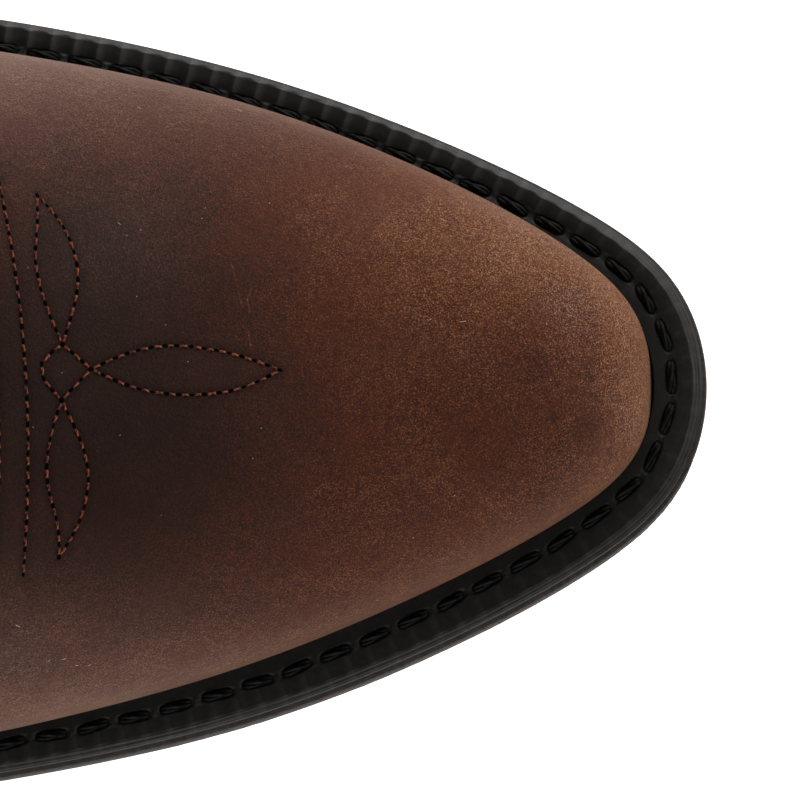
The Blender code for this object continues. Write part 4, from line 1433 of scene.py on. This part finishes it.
def build_piping(skin, side, name, leather, stitches):
    """The raised cord of a side seam, sewn down on either side."""
    top_height = collar_height(skin, side) - STRAP_LEG - STRAP_TO_SEAM
    top_row = row_at_height(skin, side * SEAM_COLUMN, top_height)
    rows = np.linspace(SEAM_FOOT_ROW, top_row, PIPING_RINGS)
    lengths = np.linspace(SEAM_FOOT_X, SEAM_TOP_X, PIPING_RINGS)

    def line(shift):
        columns = [column_at_length(skin, row, side, x + shift) for row, x in zip(rows, lengths)]
        return skin.with_normals(rows, np.array(columns))

    points, normals = line(0.0)
    middle = points + normals * (UPPER_LIFT + CLEARANCE + PIPING_RADIUS)
    rings = sweep(middle, normals, PIPING_RADIUS, CORD_SIDES)
    faces = cord_faces(PIPING_RINGS, CORD_SIDES)
    piece(name + "_cord", rings, faces, [leather], [name], {"tone": PIPING_TONE})
    for shift in (-PIPING_SEAM, PIPING_SEAM):
        points, normals = line(shift)
        stitches.sew(points + normals * UPPER_LIFT, normals, SEAM_STITCH)


def build_binding(skin, leather, stitches):
    """The rolled edge of the collar, with a row of stitches below it."""
    columns = np.linspace(-1, 1, BINDING_RINGS + 1)
    points, normals = skin.with_normals(collar_edge(columns[:-1]), columns[:-1])
    middle = points + normals * (UPPER_LIFT - UPPER_THICKNESS / 2)
    middle[:, 2] += CLEARANCE + PIPING_RADIUS
    rings = sweep(middle, normals, PIPING_RADIUS, CORD_SIDES, closed=True)
    faces = cord_faces(BINDING_RINGS, CORD_SIDES, closed=True)
    values = {"tone": BINDING_TONE}
    piece("collar_binding_roll", rings, faces, [leather], ["collar_binding"], values)
    points, normals = skin.with_normals(collar_edge(columns) - BINDING_SEAM_ROWS, columns)
    clear = np.abs(np.abs(columns) - SEAM_COLUMN) > BINDING_SEAM_GAP
    for run in np.split(np.arange(len(columns)), np.nonzero(np.diff(clear.astype(int)))[0] + 1):
        if clear[run[0]]:
            stitches.sew(points[run] + normals[run] * UPPER_LIFT, normals[run], SEAM_STITCH)


def build_pull_strap(skin, side, name, leather, stitches):
    """A strap sewn inside and outside the collar, with a loop above it."""
    middle = side * SEAM_COLUMN
    near = np.array([middle - SEARCH_STEP, middle + SEARCH_STEP])
    collar = skin.at(collar_edge(near), near)
    column_span = 2 * SEARCH_STEP * STRAP_WIDTH / np.linalg.norm(collar[1] - collar[0])
    columns = middle + column_span * np.linspace(-0.5, 0.5, STRAP_COLUMNS)
    outer = UPPER_LIFT + CLEARANCE + STRAP_THICKNESS / 2
    inner = UPPER_LIFT - UPPER_THICKNESS - CLEARANCE - STRAP_THICKNESS / 2
    foot_height = collar_height(skin, side) - STRAP_LEG
    foot_rows = np.array([row_at_height(skin, column, foot_height) for column in columns])
    leg_rows = blend(foot_rows, collar_edge(columns), np.linspace(0, 1, STRAP_LEG_ROWS)[:, None])
    outside, out = skin.with_normals(leg_rows, columns[None, :])
    inside = outside + out * inner
    outside = outside + out * outer
    centre = (outside[-1] + inside[-1]) / 2
    spread = (outside[-1] - inside[-1]) / 2
    half_gap = np.linalg.norm(spread, axis=1, keepdims=True)
    away = spread / half_gap
    top = centre[:, 2].max() + STRAP_LOOP
    loop = []
    for turn in np.linspace(0, math.pi, STRAP_LOOP_STEPS + 1)[1:-1]:
        swell = blend(half_gap, STRAP_LOOP_RADIUS, math.sin(turn) ** STRAP_LOOP_FULLNESS)
        ring = centre + away * swell * math.cos(turn)
        ring[:, 2] += (top - centre[:, 2]) * math.sin(turn)
        loop.append(ring)
    grid = np.concatenate([outside, np.array(loop), inside[::-1]])
    from_edge = np.minimum(np.arange(STRAP_COLUMNS), np.arange(STRAP_COLUMNS)[::-1])
    tone = np.broadcast_to(STRAP_TONE + STRAP_EDGE_TONE * bump(from_edge, 1.0), grid.shape[:2])
    faces = [grid_quads(*grid.shape[:2])]
    values = {"tone": tone.ravel()}
    obj = piece(name + "_leather", grid, faces, [leather], [name], values)
    thicken(obj, STRAP_THICKNESS, offset=0.0)
    rounding = obj.modifiers.new("rounding", "BEVEL")
    rounding.width = STRAP_ROUNDING * MM
    rounding.segments = 2
    lift = STRAP_THICKNESS / 2
    for column in (1, -2):
        stitches.sew(outside[1:, column] + out[1:, column] * lift, out[1:, column], SEAM_STITCH)
        stitches.sew(inside[1:, column] - out[1:, column] * lift, -out[1:, column], SEAM_STITCH)
    for row in STRAP_CROSS_ROWS:
        stitches.sew(outside[row, 1:-1] + out[row, 1:-1] * lift, out[row, 1:-1], SEAM_STITCH)


def sew_vamp_edge(skin, stitches):
    """Two rows of stitches along the vamp's top edge."""
    columns = np.linspace(-SEAM_END, SEAM_END, SEAM_SAMPLES)
    for inset in SEAM_INSETS:
        rows = vamp_edge(columns) - inset / ROW_LENGTH
        stitches.sew(*skin.with_normals(rows, columns), SEAM_STITCH)


# Welt and sole

stitch_inset = natural_spline(*columns_of(STITCH_INSET))


def welt_stations(spacing):
    """Angles and sides of stations evenly spaced round the welt, and how far each is past the toe's tip."""
    breast = float(angle_of(HEEL_BREAST + WELT_TO_BREAST))
    fine = np.linspace(breast, math.pi, OUTLINE_SAMPLES)
    turn = np.concatenate([fine, 2 * math.pi - fine[-2::-1]])
    sides = np.where(turn <= math.pi, LATERAL, MEDIAL)
    travel = travel_along(welt_line(np.minimum(turn, 2 * math.pi - turn), sides, WELT_MIDDLE))
    marks = np.linspace(0, travel[-1], round(travel[-1] / spacing) + 1)
    turned = np.interp(marks, travel, turn)
    sides = np.where(turned <= math.pi, LATERAL, MEDIAL)
    past_tip = marks - np.interp(math.pi, turn, travel)
    return np.minimum(turned, 2 * math.pi - turned), sides, past_tip


def welt_line(angles, sides, insets):
    """Points (x, y) at insets, for stations on both sides."""
    insets = np.broadcast_to(insets, len(angles))
    points = np.empty((len(angles), 2))
    for side in (LATERAL, MEDIAL):
        chosen = sides == side
        points[chosen] = np.column_stack(rim(angles[chosen], side, insets[chosen]))
    return points


def leather_inset(tree, angles, sides):
    """How far in from the sole's edge the leather stands at the height of the welt's top."""
    start = welt_line(angles, sides, BEVEL_REACH)
    end = welt_line(angles, sides, BEVEL_REACH + 1.0)
    x = SOLE_LENGTH / 2 * (1 - np.cos(angles))
    reached = foot_inset(x) - wall_lean(x)
    foot = welt_line(angles, sides, reached)
    heights = outsole_top(foot[:, 0]) + WELT_TOP
    for i, height in enumerate(heights):
        hit = tree.ray_cast(Vector((*start[i], height)), Vector((*(end[i] - start[i]), 0.0)))
        if hit[0] is not None:
            reached[i] = min(BEVEL_REACH + hit[3], foot_inset(x[i]))
    return smoothed(reached)


def sew_welt():
    """Heavy stitches along the welt, a little further in on the lateral side of the toe."""
    angles, sides, past_tip = welt_stations(WELT_STEP)
    plan = welt_line(angles, sides, stitch_inset(past_tip))
    points = np.column_stack([plan, outsole_top(plan[:, 0]) + WELT_TOP - PIT_DEPTH / 2])
    up = np.broadcast_to((0.0, 0.0, 1.0), points.shape)
    stitches = Stitches()
    stitches.sew(points, up, WELT_STITCH, WELT_STITCH_LENGTH / WELT_STITCH, unevenness=WELT_UNEVENNESS)
    return stitches


def from_stitches(plan, stitches):
    """Distances of points (x, y) from the nearest stitch, along and across it, where 1 is its pit's rim."""
    middles, along, _, across, _ = stitches.frames()
    near = search_tree([(x, y, 0.0) for x, y, _ in middles])
    found = np.array([near.find((x, y, 0.0))[1] for x, y in plan.reshape(-1, 2)]).reshape(plan.shape[:2])
    apart = plan - middles[found, :2]
    lengthwise = np.sum(apart * along[found, :2], axis=-1) / (PIT_LENGTH / 2)
    crosswise = np.sum(apart * across[found, :2], axis=-1) / (PIT_WIDTH / 2)
    return np.abs(lengthwise), np.abs(crosswise)


def welt_relief(plan, insets, past_tip, stitches):
    """Heights, and wear with painted light and shade, of the welt's top: lined bevel, facets, furrow and a
    pit for each stitch.
    """
    medial = smoothstep(past_tip / MEDIAL_FADE + 0.5)[:, None]
    steep = smoothstep(past_tip / STEEP_FADE + STEEP_AT_TIP)[:, None]
    toe = bump(past_tip, TOE_REACH)[:, None]
    to_stitch = stitch_inset(past_tip)[:, None] - insets

    along_facet = (np.arange(len(past_tip)) % FACET_STATIONS / FACET_STATIONS)[:, None]
    notch = np.minimum(along_facet / FACET_RISE, (1 - along_facet) / (1 - FACET_RISE))
    marked = smoothstep((to_stitch - FACET_TO_STITCH) / FACET_FADE)
    marked = marked * blend(LATERAL_FACETS, 1.0, medial) * (1 - TOE_FACETS_LOST * toe)
    # Painted light over the part of each facet that faces the light
    lit_facet = marked * smoothstep((along_facet - FACET_PAINTED_LIGHT_START) / FACET_PAINTED_LIGHT_FADE)

    slope = BEVEL_SLOPE * blend(LATERAL_SLOPE, 1.0, steep)
    reach = BEVEL_REACH + TOE_BEVEL * np.maximum(toe, LATERAL_BEVEL * (1 - medial))
    bevel = smoothstep(BEVEL_STEEPNESS * (reach - insets) / (reach - WELT_SETBACK))
    marks = np.arange(past_tip[0], past_tip[-1] + STREAK_LENGTH, STREAK_LENGTH)
    streaks = [np.interp(past_tip, marks, random.normal(0, 1, len(marks))) for _ in range(insets.shape[1])]
    ribs = np.cos(2 * math.pi * insets / BEVEL_LINE) * (1 - MEDIAL_LINES_LOST * medial)
    lines = bevel * (ribs + STREAK_SHARE * np.column_stack(streaks))

    lengthwise, crosswise = from_stitches(plan, stitches)
    oval = np.cbrt(lengthwise**3 + crosswise**3)
    knot = bump(lengthwise - WELT_STITCH / PIT_LENGTH, KNOT_REACH[0]) * bump(crosswise, KNOT_REACH[1])
    knot = knot * (1 - MEDIAL_LINES_LOST * medial)
    furrow = bump(to_stitch, FURROW_REACH)

    top = np.minimum(WELT_TOP - FACET_DEPTH * notch * marked, WELT_TOP - slope * (reach - insets))
    top += LINE_RELIEF * lines + KNOT_HEIGHT * knot - FURROW_DEPTH * furrow * medial
    top -= PIT_DEPTH * np.clip(1 - oval**PIT_STEEPNESS, 0, 1)
    # Wear of the welt's top with painted light mixed in: the bevel partly scuffed and partly painted
    # reflection, painted glints on the knots, painted light on one side of each facet, painted shade in the
    # furrow and the pits
    wear_and_painted_light = WELT_WEAR + bevel * blend(*BEVEL_SCUFF_AND_PAINTED_REFLECTION, steep) + LINE_WEAR * lines + KNOT_PAINTED_GLINT * knot
    wear_and_painted_light += FURROW_PAINTED_SHADE * furrow + FACET_PAINTED_LIGHT * lit_facet + PIT_PAINTED_SHADE * (oval < 1)
    return top, np.clip(wear_and_painted_light, 0, 1)


def build_welt(rubber, dusty, stitches, tree):
    """The welt, from its side over its top to the leather. Its side is as dusty as the sole's."""
    angles, sides, past_tip = welt_stations(WELT_STEP)
    count = len(angles)
    inner_edge = leather_inset(tree, angles, sides)[:, None] - WELT_TO_LEATHER
    fixed = stepped(*WELT_INSETS)
    insets = np.minimum(fixed, inner_edge - WELT_SQUEEZE * np.arange(len(fixed))[::-1])
    insets = np.concatenate([insets, inner_edge], axis=1)
    plan = np.stack([welt_line(angles, sides, column) for column in insets.T], axis=1)
    top, wear_and_painted_light = welt_relief(plan, insets, past_tip, stitches)

    side_up, side_in = columns_of(WELT_SIDE)
    outer = np.stack([welt_line(angles, sides, inset) for inset in side_in], axis=1)
    plan = np.concatenate([outer, plan, plan[:, -1:]], axis=1)
    foot = np.full((count, 1), CLEARANCE)
    heights = np.concatenate([np.tile(side_up, (count, 1)), top, foot], axis=1)
    wear_and_painted_light = np.concatenate([np.full(outer.shape[:2], SIDE_WEAR), wear_and_painted_light, np.zeros((count, 1))], axis=1)
    grid = np.concatenate([plan, (outsole_top(plan[..., 0]) + heights)[..., None]], axis=-1)
    around = grid.shape[1]
    ends = [np.arange(around)[None], ((count - 1) * around + np.arange(around))[None, ::-1]]
    quads = grid_quads(count, around, wrap=True).reshape(count - 1, around, 4)
    side, rest = np.split(quads, [len(side_up)], axis=1)
    faces = [rest.reshape(-1, 4), side.reshape(-1, 4), *ends]
    values = {"wear_and_painted_light": wear_and_painted_light.ravel()}
    materials = [rubber, dusty]
    paint = [0, 1, 0, 0]
    return piece("welt_strip", grid, faces, materials, ["welt"], values, paint=paint)


def sole_ring(angles, inset, height):
    """A closed ring round the sole, medial side first, at a height that is a function of x."""
    sides = []
    for side in (MEDIAL, LATERAL):
        x, y = rim(angles, side, inset)
        sides.append(np.column_stack([x, y, height(x)]))
    return np.concatenate([sides[0], sides[1][::-1]])


def cap(ring, steps, lift=None):
    """A grid across a ring, from its medial half to its lateral half."""
    half = len(ring) // 2
    medial, lateral = ring[:half], ring[half:][::-1]
    grid = blend(medial[:, None], lateral[:, None], np.linspace(0, 1, steps + 1)[None, :, None])
    if lift is not None:
        grid[..., 2] += lift(grid)
    return grid


def capped(rings, bottom, top):
    """Point lists and faces of a closed block: rings from the bottom up, and a grid across either end."""
    parts = [np.concatenate(rings), bottom.reshape(-1, 3), top.reshape(-1, 3)]
    first, second = np.cumsum([len(part) for part in parts[:2]])
    faces = [
        grid_quads(len(rings), len(rings[0]), wrap=True),
        grid_quads(*bottom.shape[:2]) + first,
        grid_quads(*top.shape[:2]) + second,
    ]
    return parts, faces


def tread(grid):
    """Shallow chevron grooves under the forefoot, inside a plain rim."""
    x, y = grid[..., 0], grid[..., 1]
    across = np.linspace(-1, 1, grid.shape[1])[None, :]
    phase = (x + TREAD_SLANT * np.abs(y)) / TREAD_PITCH
    groove = bump((phase - np.round(phase)) * TREAD_PITCH, TREAD_WIDTH / 2)
    inside = smoothstep((TREAD_RIM - np.abs(across)) / TREAD_RIM_FADE)
    forefoot = smoothstep((x - TREAD_BACK) / TREAD_FADE) * smoothstep((TREAD_FRONT - x) / TREAD_FADE)
    return TREAD_DEPTH * groove * inside * forefoot


def build_outsole(material):
    """The rubber sole: layered edge with a rough lower rim, tread below."""
    angles = np.linspace(0.0, math.pi, SOLE_STATIONS + 1)
    around = np.arange(2 * len(angles))
    patches = random.random(len(around) // NUB_PATCH + 2) ** 2
    nubs = NUB * np.interp(around / NUB_PATCH, np.arange(len(patches)), patches)
    nubs *= smoothed(random.random(len(around)) ** 2, 1)
    rings = []
    for inset, up, _ in SOLE_PROFILE:
        ring = sole_ring(angles, inset, lambda x: underside(x) + up)
        if NUB_BAND[0] < up < NUB_BAND[1]:
            middle = ring.mean(axis=0)
            ring[:, :2] += unit(ring[:, :2] - middle[:2]) * nubs[:, None]
        rings.append(ring)
    bottom, top = cap(rings[0], TREAD_STEPS, tread), cap(rings[-1], SOLE_TOP_STEPS)
    parts, faces = capped(rings, bottom, top)
    wear_and_painted_light = [worn for _, _, worn in SOLE_PROFILE] + [TREAD_WEAR, SOLE_TOP_WEAR_AND_PAINTED_LIGHT]
    counts = [len(part) for part in rings + parts[1:]]
    values = {"wear_and_painted_light": np.repeat(wear_and_painted_light, counts)}
    points = np.concatenate(parts)
    return piece("rubber_outsole", points, faces, [material], ["outsole"], values)


def heel_ring(height, inset=0.0):
    """Outline of the heel stack at a height, tapered from the heel seat to its foot."""
    angles = np.linspace(0.0, float(angle_of(HEEL_BREAST)), HEEL_STATIONS)
    ring = sole_ring(angles, HEEL_SETBACK + inset, lambda x: underside(x) - CLEARANCE)
    top = ring[:, 2]
    down = 1 - np.minimum(height / top, 1.0)
    foot_x = HEEL_BREAST - (HEEL_BREAST - ring[:, 0]) * HEEL_FOOT_LENGTH
    foot_y = ring[:, 1] * HEEL_FOOT_WIDTH
    x = blend(ring[:, 0], foot_x, down)
    y = blend(ring[:, 1], foot_y, down)
    return np.column_stack([x, y, np.minimum(height, top)])


def stack(name, levels, material, node):
    """A closed block of heel outlines at heights and insets."""
    rings = [heel_ring(height, inset) for height, inset in levels]
    parts, faces = capped(rings, cap(rings[0], HEEL_STEPS), cap(rings[-1], HEEL_STEPS))
    return piece(name, np.concatenate(parts), faces, [material], [node], {"wear_and_painted_light": HEEL_WEAR})


def build_heel(material):
    """Lifts of leather with a fine groove between them."""
    foot = HEEL_CAP_THICKNESS + CLEARANCE
    levels = [(foot, HEEL_FOOT_INSET), (foot + HEEL_FOOT_RISE, 0.0)]
    height = foot + LIFT_THICKNESS
    while height < HEEL_RISE - LEAST_LIFT:
        below, above = height - LIFT_GROOVE_HALF, height + LIFT_GROOVE_HALF
        levels += [(below, 0.0), (height, LIFT_GROOVE), (above, 0.0)]
        height += LIFT_THICKNESS
    levels.append((HEEL_RISE, 0.0))
    return stack("stacked_heel", levels, material, "heel")


def build_insole(lining):
    """The insole with its sock of lining leather."""
    angles = np.linspace(0.0, math.pi, INSOLE_STATIONS)
    wall = OVERLAY_THICKNESS + UPPER_THICKNESS + INSOLE_CLEARANCE
    rings = []
    for up, extra in INSOLE_LEVELS:
        ring = sole_ring(angles, lambda x: foot_inset(x) + wall + extra, lambda x: outsole_top(x) + up)
        rings.append(ring)
    parts, faces = capped(rings, cap(rings[0], INSOLE_BOTTOM_STEPS), cap(rings[-1], INSOLE_TOP_STEPS))
    return piece("insole_board", np.concatenate(parts), faces, [lining], ["insole"])


# Studio

def add_camera():
    """A long lens almost straight above the toe, as in the photograph."""
    back = Vector((0.0, -math.sin(CAMERA_TILT), math.cos(CAMERA_TILT)))
    data = bpy.data.cameras.new("camera")
    data.sensor_width = SENSOR_WIDTH
    data.lens = SENSOR_WIDTH * CAMERA_DISTANCE / VIEW_WIDTH
    camera = bpy.data.objects.new("camera", data)
    camera.location = to_scene(CAMERA_AIM) + back * CAMERA_DISTANCE * MM
    camera.rotation_mode = "QUATERNION"
    camera.rotation_quaternion = (-back).to_track_quat("-Z", "Y")
    bpy.context.scene.collection.objects.link(camera)
    bpy.context.scene.camera = camera


def add_lights():
    """Soft boxes round the boot in an evenly lit white room."""
    world = bpy.data.worlds.new("studio")
    world.use_nodes = True
    background = world.node_tree.nodes["Background"]
    background.inputs["Color"].default_value = WHITE
    background.inputs["Strength"].default_value = WORLD_STRENGTH
    bpy.context.scene.world = world
    bpy.context.scene.view_settings.view_transform = "Standard"
    for name, place, width, power in SOFTBOXES:
        light = bpy.data.lights.new(name, "AREA")
        light.shape = "SQUARE"
        light.size = width * MM
        light.energy = power
        lamp = bpy.data.objects.new(name, light)
        lamp.location = to_scene(place)
        lamp.rotation_mode = "QUATERNION"
        lamp.rotation_quaternion = (to_scene(CAMERA_AIM) - lamp.location).to_track_quat("-Z", "Y")
        bpy.context.scene.collection.objects.link(lamp)


def add_floor():
    """A plain pale floor, a hair below the sole, which glows a little so that it stays plain."""
    matt = {"Specular_IOR_Level": 0.1, "Roughness": 0.9}
    glow = {"Emission_Color": WHITE, "Emission_Strength": FLOOR_GLOW}
    reach = FLOOR_REACH * MM
    mesh = bpy.data.meshes.new("floor")
    corners = [(-reach, -reach, 0.0), (reach, -reach, 0.0), (reach, reach, 0.0), (-reach, reach, 0.0)]
    mesh.from_pydata(corners, [], [(0, 1, 2, 3)])
    mesh.materials.append(mottled_finish("pale_floor", *PALE_FLOOR, 60.0, **matt, **glow))
    floor = bpy.data.objects.new("floor", mesh)
    floor.location.z = -FLOOR_DROP * MM
    bpy.context.scene.collection.objects.link(floor)


def sew_toe(tree):
    """The toe stitching, and the points of its lines on the boot."""
    stitches = Stitches()
    line_points = []
    for line, slant in toe_lines():
        points, normals = laid_on(tree, line)
        groove = points - normals * GROOVE_DEPTH
        stitches.sew(groove, normals, TOE_STITCH, TOE_THREAD_SHARE, slant, UNEVENNESS)
        line_points.append(points)
    return stitches, np.concatenate(line_points)


def main():
    leather = leather_finish()
    lining = lining_finish()
    welt_rubber = rubber_finish("welt_rubber", *WELT_RUBBER, roughness=0.48, dust=0.16)
    sole_rubber = rubber_finish("sole_rubber", *SOLE_RUBBER, roughness=0.72, dust=0.7)
    rust = thread_finish("rust_thread", *RUST_THREAD, roughness=0.5, gloss=0.1)
    black = thread_finish("black_waxed_thread", *BLACK_THREAD, roughness=0.5, gloss=0.07)
    hole_shade = mottled_finish("needle_hole_painted_shade", *NEEDLE_HOLE_SHADE, 0.3, 0.8, Specular_IOR_Level=0.0, Roughness=0.9)
    lint = mottled_finish("lint", *PALE_LINT, 0.6, Specular_IOR_Level=0.2, Roughness=0.8)

    add_camera()
    add_lights()
    add_floor()
    skin = Skin()
    tree = foot_tree(skin)

    toe_stitches, toe_points = sew_toe(tree)
    build_vamp(skin, leather, toe_points)
    toe_stitches.threads("toe_stitching", TOE_THREAD, rust, "brown_leather", **TOE_THREAD_SHAPE)
    toe_stitches.holes("toe_needle_hole_shades", HOLE_RADIUS, hole_shade, "brown_leather")
    build_lint(skin, tree, lint)

    seam_stitches = Stitches()
    build_upper(skin, leather, lining)
    build_counter(skin, leather, seam_stitches)
    sew_vamp_edge(skin, seam_stitches)
    build_binding(skin, leather, seam_stitches)
    for side, side_name in ((MEDIAL, "medial"), (LATERAL, "lateral")):
        build_piping(skin, side, "side_piping_" + side_name, leather, seam_stitches)
        build_pull_strap(skin, side, "pull_strap_" + side_name, leather, seam_stitches)
    seam_stitches.threads("seam_stitching", SEAM_THREAD, rust, "brown_leather", rings=5)
    seam_stitches.holes("seam_needle_hole_shades", HOLE_RADIUS, hole_shade, "brown_leather", sides=6)

    welt_stitches = sew_welt()
    build_welt(welt_rubber, sole_rubber, welt_stitches, tree)
    welt_stitches.threads("welt_stitching", WELT_THREAD, black, "black_welt", **WELT_THREAD_SHAPE)
    build_outsole(sole_rubber)
    build_heel(heel_finish())
    stack("rubber_heel_cap", HEEL_CAP_LEVELS, sole_rubber, "heel_cap")
    build_insole(lining)


main()
